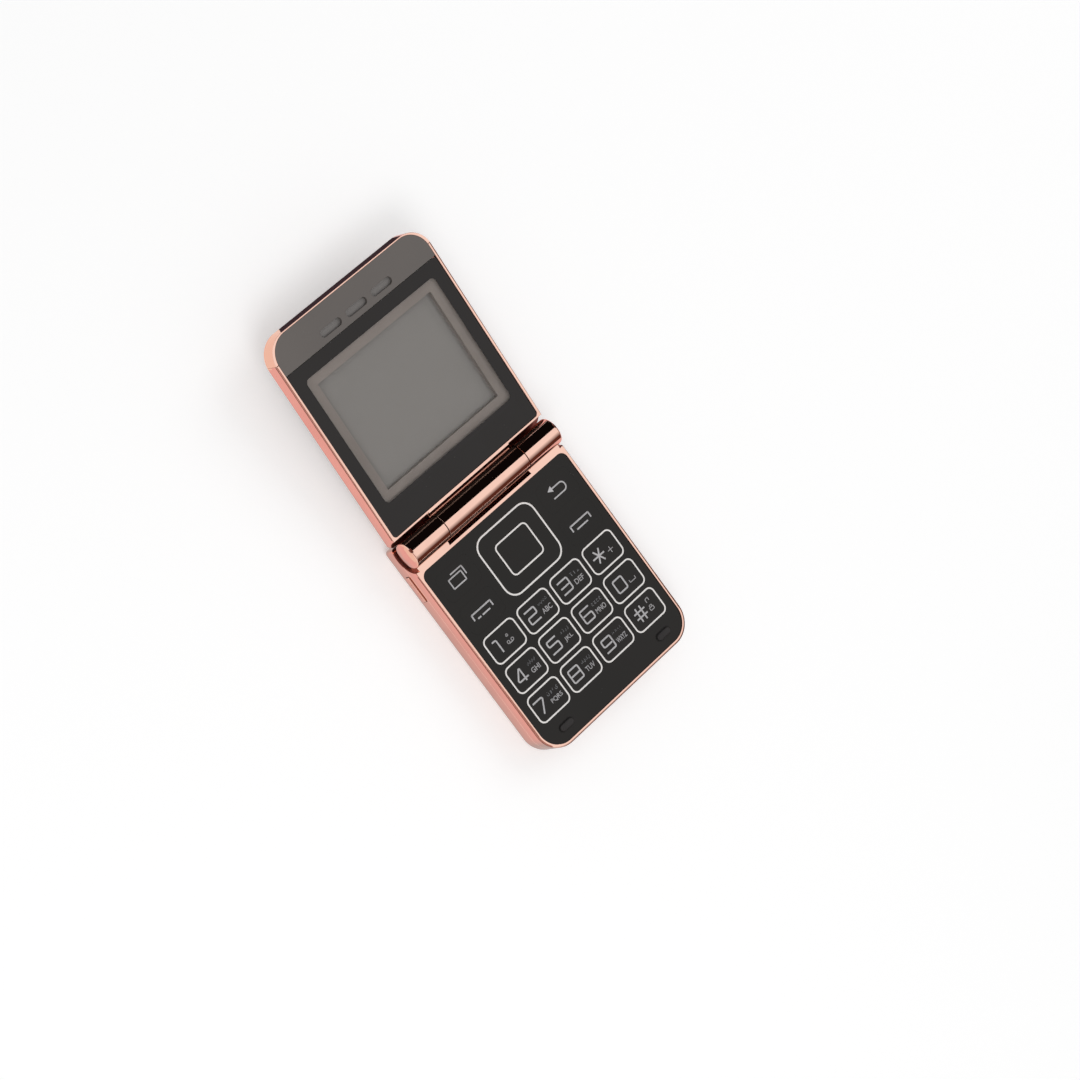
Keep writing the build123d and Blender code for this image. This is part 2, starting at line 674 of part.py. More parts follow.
with BuildPart() as nav_ring:
    pad(table, panel_low, base_height, 0, down(nav_row), nav_width, nav_length, nav_corner)
    pad(table, nav_low, panel_low, 0, down(nav_row), nav_width - 0.6, nav_length - 0.6, nav_corner - 0.3)
    pad(table, nav_low, nav_low + nav_plate, 0, down(nav_row), nav_width + 2 * key_flange,
        nav_length + 2 * key_flange, nav_corner + key_flange)
    pad(table, nav_low, panel_low, 0, down(nav_row), ok_width + 2 * nav_hollow, ok_length + 2 * nav_hollow,
        ok_corner + nav_hollow / 2, mode=Mode.SUBTRACT)
    pad(table, panel_low, base_height, 0, down(nav_row), ok_width + 2 * key_gap, ok_length + 2 * key_gap,
        ok_corner + key_gap, mode=Mode.SUBTRACT)
    posts(table, nub_low, nav_low + nav_plate, plunger_radius, ring_nubs)
save(nav_ring, "nav_ring")

with BuildPart() as nav_carrier:
    pad(table, carrier_low, carrier_low + nav_plate, 0, down(nav_row), nav_width - 1.7, nav_length - 0.4, 3.2)
    posts(table, nub_low, carrier_low, plunger_radius, carrier_nubs)
    posts(table, carrier_low, carrier_low + nav_plate, plunger_radius + key_flange, [ok_place] + ring_nubs,
          mode=Mode.SUBTRACT)
save(nav_carrier, "nav_carrier")

with BuildPart() as base_bumpers:
    for x, y in bumper_places:
        pad(table, base_height - bumper_sink, base_height + bumper_height, x, y, bumper_length - 2 * seat_fit,
            bumper_width - 2 * seat_fit, bumper_width / 2 - seam)
    fillet(base_bumpers.edges().group_by(Axis.Z)[-1], radius=bumper_round)
save(base_bumpers, "base_bumpers")

# ================================================================ hinge
with BuildPart() as hinge_end_caps:
    for x_low, x_high in both_ends(barrel_end, barrel_end + cap_thick):
        bar(barrel_radius, x_low, x_high)
    fillet(hinge_end_caps.edges().group_by(Axis.X)[0], radius=cap_round)
    fillet(hinge_end_caps.edges().group_by(Axis.X)[-1], radius=cap_round)
    for x_low, x_high in both_ends(spigot_end, barrel_end):
        bar(bore_radius - seat_fit, x_low, x_high)
    # pry notch at each cap's edge
    for x_low, x_high in both_ends(barrel_end - 0.2, barrel_end + cap_thick - 0.1):
        block(table, hinge_z + barrel_radius - 0.75, hinge_z + barrel_radius + 1, x_low, x_high,
              hinge_y + 0.6, hinge_y + 1.9, mode=Mode.SUBTRACT)
save(hinge_end_caps, "hinge_end_caps")

cartridge_start = knuckle_split + 0.4
with BuildPart() as hinge_cartridge:
    bar(bore_radius - seat_fit, -insert_end, -cartridge_start)
    bar(spring_radius + 2 * spring_wire + 0.1, -insert_end + 0.8, -cartridge_start - 1.0, mode=Mode.SUBTRACT)
    bar(shaft_radius + turn_fit, -insert_end - 1, -cartridge_start + 1, mode=Mode.SUBTRACT)
save(hinge_cartridge, "hinge_cartridge")

with BuildPart() as hinge_spring:
    with BuildLine() as coil:
        Helix(pitch=spring_pitch, height=insert_end - cartridge_start - 3.4, radius=spring_radius,
              center=(-insert_end + 1.4, hinge_y, hinge_z), direction=(1, 0, 0))
    with BuildSketch(Plane(origin=coil.line @ 0, z_dir=coil.line % 0)):
        Circle(spring_wire)
    sweep(is_frenet=True)
save(hinge_spring, "hinge_spring")

with BuildPart() as hinge_cam:
    bar(bore_radius - seat_fit, -knuckle_in + knuckle_gap, -knuckle_in + knuckle_gap + cam_length)
    bar(shaft_radius, -insert_end + 0.2, -knuckle_in + knuckle_gap)
save(hinge_cam, "hinge_cam")

with BuildPart() as hinge_bush:
    bar(bore_radius - turn_fit, bush_inner_x, knuckle_out)
    bar(bore_radius - seat_fit, knuckle_out, insert_end)
    bar(bush_radius, bush_inner_x - 1, insert_end + 1, mode=Mode.SUBTRACT)
    base_box(ribbon_low - 0.25, hinge_z - bush_radius + 0.5, ribbon_x - ribbon_half - 2 * part_fit,
             ribbon_x + ribbon_half + 2 * part_fit, 4.0, 0.3 - 0.3, mode=Mode.SUBTRACT)
save(hinge_bush, "hinge_bush")

with BuildPart() as hinge_flex:
    bar(coil_outer, coil_start_x, ribbon_x + ribbon_half + 0.3)
    bar(coil_inner, coil_start_x - 1, ribbon_x + ribbon_half + 1, mode=Mode.SUBTRACT)
    # ribbon out of the coil, over the ledge and down to the board
    ribbon_span = (ribbon_x - ribbon_half, ribbon_x + ribbon_half)
    base_box(ribbon_low, hinge_z - coil_outer + ribbon_thick, *ribbon_span, 2 * ribbon_thick, ribbon_thick)
    base_box(ribbon_low, ribbon_high, *ribbon_span, hollow_start + 0.7, ribbon_thick)
    base_box(board_top, ribbon_high, *ribbon_span, hollow_start + 0.7, hollow_start + 0.5)
    base_box(board_top, board_top + ribbon_thick, *ribbon_span, hollow_start + 1.2, hollow_start + 0.5)
save(hinge_flex, "hinge_flex")

# ================================================================ lid: frame, trim, shells
with BuildPart() as lid_groove:
    lid_layer(lid_face + groove_bottom, lid_face + groove_top, -1.0, lens_start, trim_start)
    lid_layer(lid_face + groove_bottom, lid_face + groove_top, groove_depth, lens_start, trim_start,
              mode=Mode.SUBTRACT)

with BuildPart() as lid_frame:
    lid_layer(lid_split, lid_rim, 0, lid_lip - 0.5, trim_start, 1.9)
    chamfer(lid_frame.edges().group_by(lid_up)[-1], length=edge_break)
    saddle()
    # deck that carries lens and earpiece cover, running on inside the top trim
    lid_layer(lid_split, lens_low, wall + seam, 12.0, lid_reach - wall - seam, 0,
              lid_outer_corner - wall - seam)
    lid_layer(lens_low, lid_rim + 1, rim_width, lens_start, trim_start + 1, lens_corner, mode=Mode.SUBTRACT)
    lid_layer(lid_split, deck_low, wall + key_flange, 7.6, lid_reach - 2.8, 1.0,
              lid_outer_corner - wall - 1.0, Mode.SUBTRACT)
    # openings for display and earpiece
    opening_inset = half_body - window_half - window_border - part_fit
    lid_layer(deck_low, lens_low, opening_inset, window_low - window_border - part_fit,
              window_high + window_border + part_fit, wall, wall, Mode.SUBTRACT)
    pad(lid, deck_low, lens_low, 0, slot_row, receiver_width + 2 * part_fit, receiver_length + 2 * part_fit,
        1.8, mode=Mode.SUBTRACT)
    # middle knuckle with its neck
    block(lid, -lid_neck_drop, lens_low, -knuckle_in, knuckle_in, 0, lid_neck_reach)
    block(lid, lid_split, lid_rim, -knuckle_in, knuckle_in, lid_hinge_rim, lens_start)
    bar(barrel_radius, -knuckle_in, knuckle_in)
    bar(bore_radius, -knuckle_in - 1, knuckle_in + 1, mode=Mode.SUBTRACT)
    # slot for the ribbon cable
    block(lid, deck_low - 0.3, deck_low + 0.4, lid_ribbon_x - lid_ribbon_half - 0.4,
          lid_ribbon_x + lid_ribbon_half + 0.4, 2.0, 9.2, mode=Mode.SUBTRACT)
    # screw bosses
    posts(lid, lid_split, deck_low, lid_boss_radius, lid_screw_places)
    posts(lid, lid_split, lens_low, lid_screw_radius + 0.1, lid_screw_places, mode=Mode.SUBTRACT)
    posts(lid, lens_low - lid_head_height - 0.1, lens_low, lid_head_radius + 0.15, lid_screw_places,
          mode=Mode.SUBTRACT)
    add(lid_groove.part, mode=Mode.SUBTRACT)
save(lid_frame, "lid_frame")

with BuildPart() as lid_top_trim:
    lid_layer(trim_low, lid_rim, 0, window_low, lid_reach, 0, lid_outer_corner)
    lid_layer(trim_low, lens_low, wall, window_low, lid_reach - wall, 0, lid_outer_corner - wall, Mode.SUBTRACT)
    lid_layer(lens_low, lid_rim + 1, rim_width, window_low, cover_end, 0, lid_corner, Mode.SUBTRACT)
    lid_layer(trim_low, lid_rim + 1, -1.0, window_low, trim_start + seam, mode=Mode.SUBTRACT)
save(lid_top_trim, "lid_top_trim")

# Step round the back shell's far end that the top trim sits in.
with BuildPart() as trim_seat:
    lid_layer(trim_low, lid_split + 1, -1.0, trim_start, lid_reach + 1)
    lid_layer(trim_low, lid_split + 1, wall + seam, window_low, lid_reach - wall - seam, 0,
              lid_outer_corner - wall - seam, Mode.SUBTRACT)

with BuildPart() as lid_back_shell:
    lid_layer(lid_back, lid_split, 0, lid_lip, lid_reach, 1.2, lid_outer_corner)
    fillet(lid_back_shell.edges().group_by(lid_up)[0], radius=lid_round)
    saddle()
    block(lid, -lid_neck_drop - seam, lid_split, -knuckle_in - seam, knuckle_in + seam, 0,
          lid_neck_reach + seam, mode=Mode.SUBTRACT)
    add(trim_seat.part, mode=Mode.SUBTRACT)
    lid_layer(lid_floor, lid_split, wall + 1.2, 7.8, lid_reach - 2.8, 1.0, lid_outer_corner - wall - 1.2,
              Mode.SUBTRACT)
    # seat of the back plate, screw posts
    lid_layer(lid_back, lid_back + plate_thick, plate_inset, plate_start, lid_reach - plate_end_inset, 3.0,
              5.0, Mode.SUBTRACT)
    posts(lid, lid_floor, lid_split, lid_boss_radius, lid_screw_places)
    posts(lid, lid_floor + 0.3, lid_split, lid_screw_radius + seat_fit, lid_screw_places, mode=Mode.SUBTRACT)
save(lid_back_shell, "lid_back_shell")

with BuildPart() as lid_back_plate:
    lid_layer(lid_back, lid_back + plate_thick, plate_inset + panel_fit, plate_start + panel_fit,
              lid_reach - plate_end_inset - panel_fit, 3.0, 5.0)
save(lid_back_plate, "lid_back_plate")

# ================================================================ lid: lens, display, earpiece
with BuildPart() as lens:
    lid_layer(lens_low, lid_face, rim_width + panel_fit, lens_start + panel_fit, lens_end, lens_corner)
save(lens, "lens")

with BuildPart() as earpiece_cover:
    lid_layer(lens_low, lid_rim, rim_width + panel_fit, lens_end + cover_gap, cover_end - panel_fit, 0,
              lid_corner)
    for step in (-1, 0, 1):
        pad(lid, lens_low, lid_rim, slot_pitch * step, slot_row, slot_length, slot_width,
            slot_width / 2 - seat_fit, mode=Mode.SUBTRACT)
    pad(lid, lens_low, lens_low + mesh_thick, 0, slot_row, mesh_width, mesh_length, 1.0, mode=Mode.SUBTRACT)
save(earpiece_cover, "earpiece_cover")

with BuildPart() as earpiece_mesh:
    pad(lid, lens_low, lens_low + mesh_thick, 0, slot_row, mesh_width - 2 * seam, mesh_length - 2 * seam, 1.0)
save(earpiece_mesh, "earpiece_mesh")

with BuildPart() as earpiece_receiver:
    pad(lid, lens_low - receiver_height, lens_low, 0, slot_row, receiver_width, receiver_length, 1.6)
save(earpiece_receiver, "earpiece_receiver")

with BuildPart() as display_frame:
    lid_layer(display_low, lens_low, opening_inset + part_fit, window_low - window_border,
              window_high + window_border, 1.3, 1.3)
    lid_layer(display_low, lens_low, half_body - screen_half, screen_low, screen_high, 0.3, 0.3, Mode.SUBTRACT)
save(display_frame, "display_frame")

with BuildPart() as display_module:
    lid_layer(display_low - display_thick, display_low, opening_inset + part_fit + 0.6, window_low + 0.4,
              window_high - 0.2, 0.5, 0.5)
save(display_module, "display_module")

board_high = lid_floor + board_thick
with BuildPart() as lid_board:
    block(lid, lid_floor, board_high, -lid_board_half, lid_board_half, lid_board_start,
          lid_board_start + lid_board_length, 0.5, 0.5)
save(lid_board, "lid_board")

with BuildPart() as lid_flex:
    ribbon_span = (lid_ribbon_x - lid_ribbon_half, lid_ribbon_x + lid_ribbon_half)
    block(lid, deck_low - 0.05, deck_low - 0.05 + ribbon_thick, *ribbon_span, coil_outer + ribbon_thick, 8.7)
    block(lid, board_high, deck_low - 0.05 + ribbon_thick, *ribbon_span, 8.5, 8.7)
    block(lid, board_high, board_high + ribbon_thick, *ribbon_span, 8.5, 11.0)
save(lid_flex, "lid_flex")

with BuildPart() as closing_magnet:
    block(lid, deck_low - magnet_thick, deck_low, magnet_x - magnet_half, magnet_x + magnet_half,
          lid_reach - magnet_inset, lid_reach - magnet_inset + magnet_half)
save(closing_magnet, "closing_magnet")

with BuildPart() as lid_screws:
    head_low = lens_low - lid_head_height - 0.1
    posts(lid, head_low, head_low + lid_head_height, lid_head_radius, lid_screw_places)
    posts(lid, lid_floor + 0.5, head_low, lid_screw_radius, lid_screw_places)
save(lid_screws, "lid_screws")
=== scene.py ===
import json
import math

import bmesh
import bpy
from mathutils import Matrix, Vector

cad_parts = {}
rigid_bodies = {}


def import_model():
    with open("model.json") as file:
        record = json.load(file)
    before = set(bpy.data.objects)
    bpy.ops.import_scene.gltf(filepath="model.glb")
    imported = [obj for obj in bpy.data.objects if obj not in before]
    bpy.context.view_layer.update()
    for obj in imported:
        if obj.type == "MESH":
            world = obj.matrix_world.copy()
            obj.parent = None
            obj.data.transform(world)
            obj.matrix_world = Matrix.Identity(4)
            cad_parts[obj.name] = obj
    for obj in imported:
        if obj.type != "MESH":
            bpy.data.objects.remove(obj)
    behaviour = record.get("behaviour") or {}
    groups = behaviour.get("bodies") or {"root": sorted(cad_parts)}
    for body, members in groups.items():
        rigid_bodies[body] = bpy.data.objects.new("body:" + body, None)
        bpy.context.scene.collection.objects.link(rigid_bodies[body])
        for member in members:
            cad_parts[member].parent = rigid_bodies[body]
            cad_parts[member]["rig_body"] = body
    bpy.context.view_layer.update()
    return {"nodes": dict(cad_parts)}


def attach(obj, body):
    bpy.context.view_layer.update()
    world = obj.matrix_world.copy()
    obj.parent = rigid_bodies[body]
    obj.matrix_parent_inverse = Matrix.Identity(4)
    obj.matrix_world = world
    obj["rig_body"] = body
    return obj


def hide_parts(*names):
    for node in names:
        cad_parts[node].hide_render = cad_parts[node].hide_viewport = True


# A flip phone, open on a table: its finishes, its printing and the studio round it.

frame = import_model()
nodes = frame["nodes"]
scene = bpy.context.scene

MM = 0.001

# Places shared with the housing, in millimetres. A reach is a distance from the hinge axis:
# towards the user on the base, and towards the far end on the lid.
hinge_y = 38.0
hinge_z = 11.0
lid_lift = math.radians(6.5)
face_z = 10.2                   # keypad face
lens_face = -0.8                # front of the lens, above the hinge axis
column_pitch = 14.01
row_pitch = 10.66
first_row = 37.15
nav_row = 19.96
key_columns = [(column - 1.5) * column_pitch for column in range(4)]
key_rows = [first_row + row * row_pitch for row in range(3)]
base_rim_top = 10.5
base_rim_end = 33.5             # y at which the base's rim gives way to the hinge
base_groove = (9.89, 10.26)     # lowest and highest level of the groove round the keypad
lid_rim_top = -0.5              # above the hinge axis, as the next two are
lid_rim_start = 6.0
lid_groove = (-1.11, -0.74)     # lowest and highest level of the groove round the lens
saddle_radii = (5.35, 5.65)     # between these lies the hollow round the barrel
lip_radius = 4.6                # inside of the lips that wrap the barrel
cap_inside = 30.3               # x past which only the end caps' outer faces lie
saddle_end = 30.7               # x past which only the saddle's outer ends lie
notch_span = (0.59, 1.91)       # notch in the end caps, beyond the hinge axis
notch_floor = 3.59              # above the hinge axis

lid_matrix = (Matrix.Translation(Vector((0, hinge_y, hinge_z)) * MM)
              @ Matrix.Rotation(lid_lift, 4, "X"))


def on_face(x, reach, height=0.0):
    """A point on the keypad face: across, towards the user from the hinge, above the face."""
    return Vector((x, hinge_y - reach, face_z + height)) * MM


def on_lid(x, reach, height=0.0):
    """A point on the lid: across, up the lid from the hinge, above the hinge axis."""
    return lid_matrix @ (Vector((x, reach, height)) * MM)


def lid_point(point):
    """A point in millimetres as the lid sees it: across, reach, above the hinge axis."""
    return lid_matrix.inverted() @ (point * MM) / MM


# ---------------------------------------------------------------- shader nodes

def add(tree, kind, links=None, **settings):
    """A node with its settings; links gives values or sockets by input name or number."""
    node = tree.nodes.new(kind)
    for key, value in settings.items():
        setattr(node, key, value)
    for key, value in (links or {}).items():
        if isinstance(value, bpy.types.NodeSocket):
            tree.links.new(value, node.inputs[key])
        else:
            node.inputs[key].default_value = value
    return node


def feed(tree, node, **values):
    """Gives values or sockets to a node's inputs, named with _ for a space."""
    for key, value in values.items():
        socket = node.inputs[key.replace("_", " ")]
        if isinstance(value, bpy.types.NodeSocket):
            tree.links.new(value, socket)
        else:
            socket.default_value = value
    return node


def here(tree):
    """Object coordinates."""
    return add(tree, "ShaderNodeTexCoord").outputs["Object"]


def noise(tree, place, scale, detail, **more):
    """Noise from 0 to 1."""
    return add(tree, "ShaderNodeTexNoise",
               {"Vector": place, "Scale": scale, "Detail": detail, **more}).outputs["Fac"]


def remap(tree, value, low, high, to_low=0.0, to_high=1.0):
    """Maps a value from one range to another, clamped."""
    return add(tree, "ShaderNodeMapRange",
               {"Value": value, "From Min": low, "From Max": high,
                "To Min": to_low, "To Max": to_high}).outputs["Result"]


def combined(tree, operation, first, second):
    """Two values put together by a Math operation."""
    return add(tree, "ShaderNodeMath", {0: first, 1: second}, operation=operation).outputs[0]


def blended(tree, share, first, second):
    """The first colour at share 0, the second at share 1."""
    return add(tree, "ShaderNodeMix", {0: share, 6: first, 7: second},
               data_type="RGBA").outputs[2]


def any_ray(tree, *kinds):
    """1 for the kinds of ray that are named, such as Camera, and 0 for the others."""
    path = add(tree, "ShaderNodeLightPath")
    rays = [path.outputs["Is " + kind + " Ray"] for kind in kinds]
    found = rays[0]
    for ray in rays[1:]:
        found = combined(tree, "MAXIMUM", found, ray)
    return found


# ---------------------------------------------------------------- shader groups

def new_group(name, inputs, outputs):
    """A shader node group with named sockets, and its input and output nodes."""
    group = bpy.data.node_groups.new(name, "ShaderNodeTree")
    for label, kind, value in inputs:
        socket = group.interface.new_socket(label, in_out="INPUT", socket_type=kind)
        socket.default_value = value
    for label, kind in outputs:
        group.interface.new_socket(label, in_out="OUTPUT", socket_type=kind)
    return group, group.nodes.new("NodeGroupInput"), group.nodes.new("NodeGroupOutput")


def handling_group():
    """Faint finger smears and hairline scratches: roughness that varies over a glossy face."""
    group, ins, outs = new_group(
        "handling_marks",
        [("Smear Scale", "NodeSocketFloat", 90.0), ("Smooth", "NodeSocketFloat", 0.05),
         ("Smeared", "NodeSocketFloat", 0.15), ("Scratch Scale", "NodeSocketFloat", 600.0)],
        [("Roughness", "NodeSocketFloat"), ("Mask", "NodeSocketFloat")])
    place = here(group)
    smear = noise(group, place, ins.outputs["Smear Scale"], 3.0, Roughness=0.6, Distortion=0.8)
    mask = remap(group, smear, 0.45, 0.72)
    stretched = add(group, "ShaderNodeMapping",
                    {"Vector": place, "Rotation": (0.3, 0.2, 0.6), "Scale": (1.0, 14.0, 5.0)})
    hair = noise(group, stretched.outputs["Vector"], ins.outputs["Scratch Scale"], 1.0)
    marked = combined(group, "MAXIMUM", mask, remap(group, hair, 0.70, 0.78))
    feed(group, outs, Mask=mask,
         Roughness=remap(group, marked, 0.0, 1.0, ins.outputs["Smooth"],
                         ins.outputs["Smeared"]))
    return group


def dust_group():
    """Fine specks of dust and lint, as a colour over the finish."""
    group, ins, outs = new_group(
        "dust_specks",
        [("Color", "NodeSocketColor", (0.05, 0.05, 0.05, 1.0)),
         ("Dust", "NodeSocketColor", (0.45, 0.42, 0.40, 1.0)),
         ("Scale", "NodeSocketFloat", 900.0), ("Amount", "NodeSocketFloat", 0.3)],
        [("Color", "NodeSocketColor")])
    place = here(group)
    speck = add(group, "ShaderNodeTexVoronoi",
                {"Vector": place, "Scale": ins.outputs["Scale"], "Randomness": 1.0})
    near = remap(group, speck.outputs["Distance"], 0.04, 0.10, 1.0, 0.0)
    where = remap(group, noise(group, place, 150.0, 2.0), 0.55, 0.75)
    mask = combined(group, "MULTIPLY", combined(group, "MULTIPLY", near, where),
                    ins.outputs["Amount"])
    feed(group, outs, Color=blended(group, mask, ins.outputs["Color"], ins.outputs["Dust"]))
    return group


def surface_group(name, light, dark, scale, low, high):
    """A new group for a two-toned surface, with its input and output nodes."""
    return new_group(
        name,
        [("Light", "NodeSocketColor", light), ("Dark", "NodeSocketColor", dark),
         ("Scale", "NodeSocketFloat", scale), ("Rough Low", "NodeSocketFloat", low),
         ("Rough High", "NodeSocketFloat", high)],
        [("Color", "NodeSocketColor"), ("Roughness", "NodeSocketFloat"),
         ("Height", "NodeSocketFloat")])


def finish_surface(group, ins, outs, tone, height):
    """Gives a surface group its colour by tone, and its roughness and height by height."""
    feed(group, outs, Color=blended(group, tone, ins.outputs["Dark"], ins.outputs["Light"]),
         Roughness=remap(group, height, 0.3, 0.7, ins.outputs["Rough Low"],
                         ins.outputs["Rough High"]),
         Height=height)
    return group


def grain_group():
    """Moulded or cast grain: two tones, a roughness and a height."""
    group, ins, outs = surface_group("moulded_grain", (0.06, 0.06, 0.06, 1.0),
                                     (0.03, 0.03, 0.03, 1.0), 2500.0, 0.45, 0.65)
    place = here(group)
    fine = noise(group, place, ins.outputs["Scale"], 2.0, Roughness=0.55)
    tone = combined(group, "MULTIPLY", fine, noise(group, place, 180.0, 2.0))
    return finish_surface(group, ins, outs, remap(group, tone, 0.12, 0.42), fine)


def brushed_group():
    """Rolled or turned metal: fine lines along one direction."""
    group, ins, outs = surface_group("brushed_lines", (0.7, 0.7, 0.7, 1.0),
                                     (0.45, 0.45, 0.46, 1.0), 900.0, 0.22, 0.42)
    along = add(group, "ShaderNodeMapping", {"Vector": here(group), "Scale": (0.06, 1.0, 1.0)})
    line = noise(group, along.outputs["Vector"], ins.outputs["Scale"], 3.0)
    return finish_surface(group, ins, outs, remap(group, line, 0.3, 0.7), line)


handling = handling_group()
dust = dust_group()
grain = grain_group()
brushed = brushed_group()


# ---------------------------------------------------------------- materials

def new_material(name):
    """A node material: its tree and its Principled shader."""
    material = bpy.data.materials.new(name)
    material.use_nodes = True
    tree = material.node_tree
    return material, tree, tree.nodes["Principled BSDF"]


def place_group(tree, group, **values):
    """A shader group placed in a material, with its own values."""
    node = tree.nodes.new("ShaderNodeGroup")
    node.node_tree = group
    return feed(tree, node, **values)


def bumped(tree, shader, height, distance, strength):
    """Feeds a height to the shader's normal."""
    bump = add(tree, "ShaderNodeBump",
               {"Strength": strength, "Distance": distance, "Height": height})
    feed(tree, shader, Normal=bump.outputs["Normal"])


def surfaced(name, group, light, dark, scale, low, high):
    """A material with the colour and roughness of a surface group, and that group's node."""
    material, tree, shader = new_material(name)
    skin = place_group(tree, group, Light=light, Dark=dark, Scale=scale, Rough_Low=low,
                       Rough_High=high)
    feed(tree, shader, Base_Color=skin.outputs["Color"], Roughness=skin.outputs["Roughness"])
    return material, tree, shader, skin


def plated(name, color, tint, smooth, smeared):
    """Mirror plating on plastic, with a faint ripple under it and handling marks."""
    material, tree, shader = new_material(name)
    marks = place_group(tree, handling, Smear_Scale=70.0, Smooth=smooth, Smeared=smeared,
                        Scratch_Scale=500.0)
    feed(tree, shader, Base_Color=blended(tree, marks.outputs["Mask"], color, tint),
         Roughness=marks.outputs["Roughness"], Metallic=1.0)
    bumped(tree, shader, noise(tree, here(tree), 120.0, 1.0), 0.00001, 0.5)
    return material


def glossy(name, color, second, ior=1.45, coat=0.0):
    """High-gloss plastic or film, with broad tone changes, dust and handling marks."""
    material, tree, shader = new_material(name)
    cloud = remap(tree, noise(tree, here(tree), 28.0, 2.0), 0.35, 0.65)
    specks = place_group(tree, dust, Color=blended(tree, cloud, color, second), Amount=0.25)
    marks = place_group(tree, handling, Smooth=0.06, Smeared=0.2)
    feed(tree, shader, Base_Color=specks.outputs["Color"],
         Roughness=marks.outputs["Roughness"], IOR=ior, Coat_Weight=coat)
    return material


def grained(name, light, dark, scale=2500.0, low=0.45, high=0.65, depth=0.00001,
            metallic=0.0):
    """Matt moulded plastic, rubber or paper."""
    material, tree, shader, skin = surfaced(name, grain, light, dark, scale, low, high)
    feed(tree, shader, Metallic=metallic)
    bumped(tree, shader, skin.outputs["Height"], depth, 0.6)
    return material


def metal(name, light, dark, scale=900.0):
    """Stamped or turned metal with fine lines."""
    material, tree, shader, skin = surfaced(name, brushed, light, dark, scale, 0.22, 0.42)
    feed(tree, shader, Metallic=1.0)
    bumped(tree, shader, skin.outputs["Height"], 0.000005, 0.5)
    return material


def printed_ink(name, color, second):
    """Screen-printed ink with slightly uneven cover."""
    return surfaced(name, grain, color, second, 5000.0, 0.35, 0.5)[0]


def board_material():
    """Green solder mask over faint copper tracks."""
    material, tree, shader = new_material("solder_mask")
    tracks = add(tree, "ShaderNodeTexBrick",
                 {"Vector": here(tree), "Color1": (0.02, 0.13, 0.05, 1),
                  "Color2": (0.03, 0.18, 0.07, 1), "Mortar": (0.10, 0.30, 0.12, 1),
                  "Scale": 420.0, "Mortar Size": 0.03})
    skin = place_group(tree, grain, Rough_Low=0.25, Rough_High=0.4)
    feed(tree, shader, Base_Color=tracks.outputs["Color"], Roughness=skin.outputs["Roughness"])
    bumped(tree, shader, tracks.outputs["Fac"], 0.00002, 0.5)
    return material


def film_material():
    """Amber polyimide film with copper lines in it."""
    material, tree, shader = new_material("amber_film")
    lines = add(tree, "ShaderNodeTexWave",
                {"Vector": here(tree), "Scale": 500.0, "Distortion": 0.2}, bands_direction="X")
    skin = place_group(tree, grain, Rough_Low=0.2, Rough_High=0.35)
    feed(tree, shader, Roughness=skin.outputs["Roughness"],
         Base_Color=blended(tree, remap(tree, lines.outputs["Fac"], 0.4, 0.6),
                            (0.42, 0.19, 0.04, 1), (0.62, 0.33, 0.12, 1)))
    return material


def clear_lens():
    """Clear acrylic under a hard coat; it lets the lamps' light through to the display."""
    material, tree, shader = new_material("clear_acrylic")
    feed(tree, shader, Base_Color=(1, 1, 1, 1), Roughness=0.0, IOR=1.3,
         Transmission_Weight=1.0)
    marks = place_group(tree, handling, Smear_Scale=45.0, Scratch_Scale=400.0)
    bumped(tree, shader, marks.outputs["Mask"], 0.000002, 0.1)
    clear = add(tree, "ShaderNodeBsdfTransparent", {"Color": (0.97, 0.97, 0.97, 1)})
    through = add(tree, "ShaderNodeMixShader",
                  {0: any_ray(tree, "Shadow", "Diffuse", "Glossy"), 1: shader.outputs[0],
                   2: clear.outputs[0]})
    feed(tree, tree.nodes["Material Output"], Surface=through.outputs[0])
    return material


def woven_wire():
    """Fine woven wire cloth: dark holes between crossing wires."""
    material, tree, shader = new_material("receiver_cloth")
    place = here(tree)
    wires = [add(tree, "ShaderNodeTexWave", {"Vector": place, "Scale": 1500.0},
                 bands_direction=way).outputs["Fac"] for way in "XY"]
    cloth = combined(tree, "MAXIMUM", *wires)
    skin = place_group(tree, grain, Rough_Low=0.35, Rough_High=0.5)
    feed(tree, shader, Roughness=skin.outputs["Roughness"],
         Base_Color=blended(tree, cloth, (0.07, 0.065, 0.062, 1), (0.25, 0.235, 0.225, 1)))
    bumped(tree, shader, cloth, 0.00003, 0.6)
    return material


def display_material():
    """The unlit display: grey-brown, with a fine grid of picture cells."""
    material, tree, shader = new_material("unlit_display")
    cells = add(tree, "ShaderNodeTexBrick",
                {"Vector": here(tree), "Color1": (0.227, 0.211, 0.195, 1),
                 "Color2": (0.232, 0.216, 0.200, 1), "Mortar": (0.206, 0.192, 0.177, 1),
                 "Scale": 2500.0, "Mortar Size": 0.03, "Brick Width": 0.5, "Row Height": 0.5},
                offset=0.0)
    marks = place_group(tree, handling, Smooth=0.12, Smeared=0.2)
    feed(tree, shader, Base_Color=cells.outputs["Color"], Roughness=marks.outputs["Roughness"])
    return material


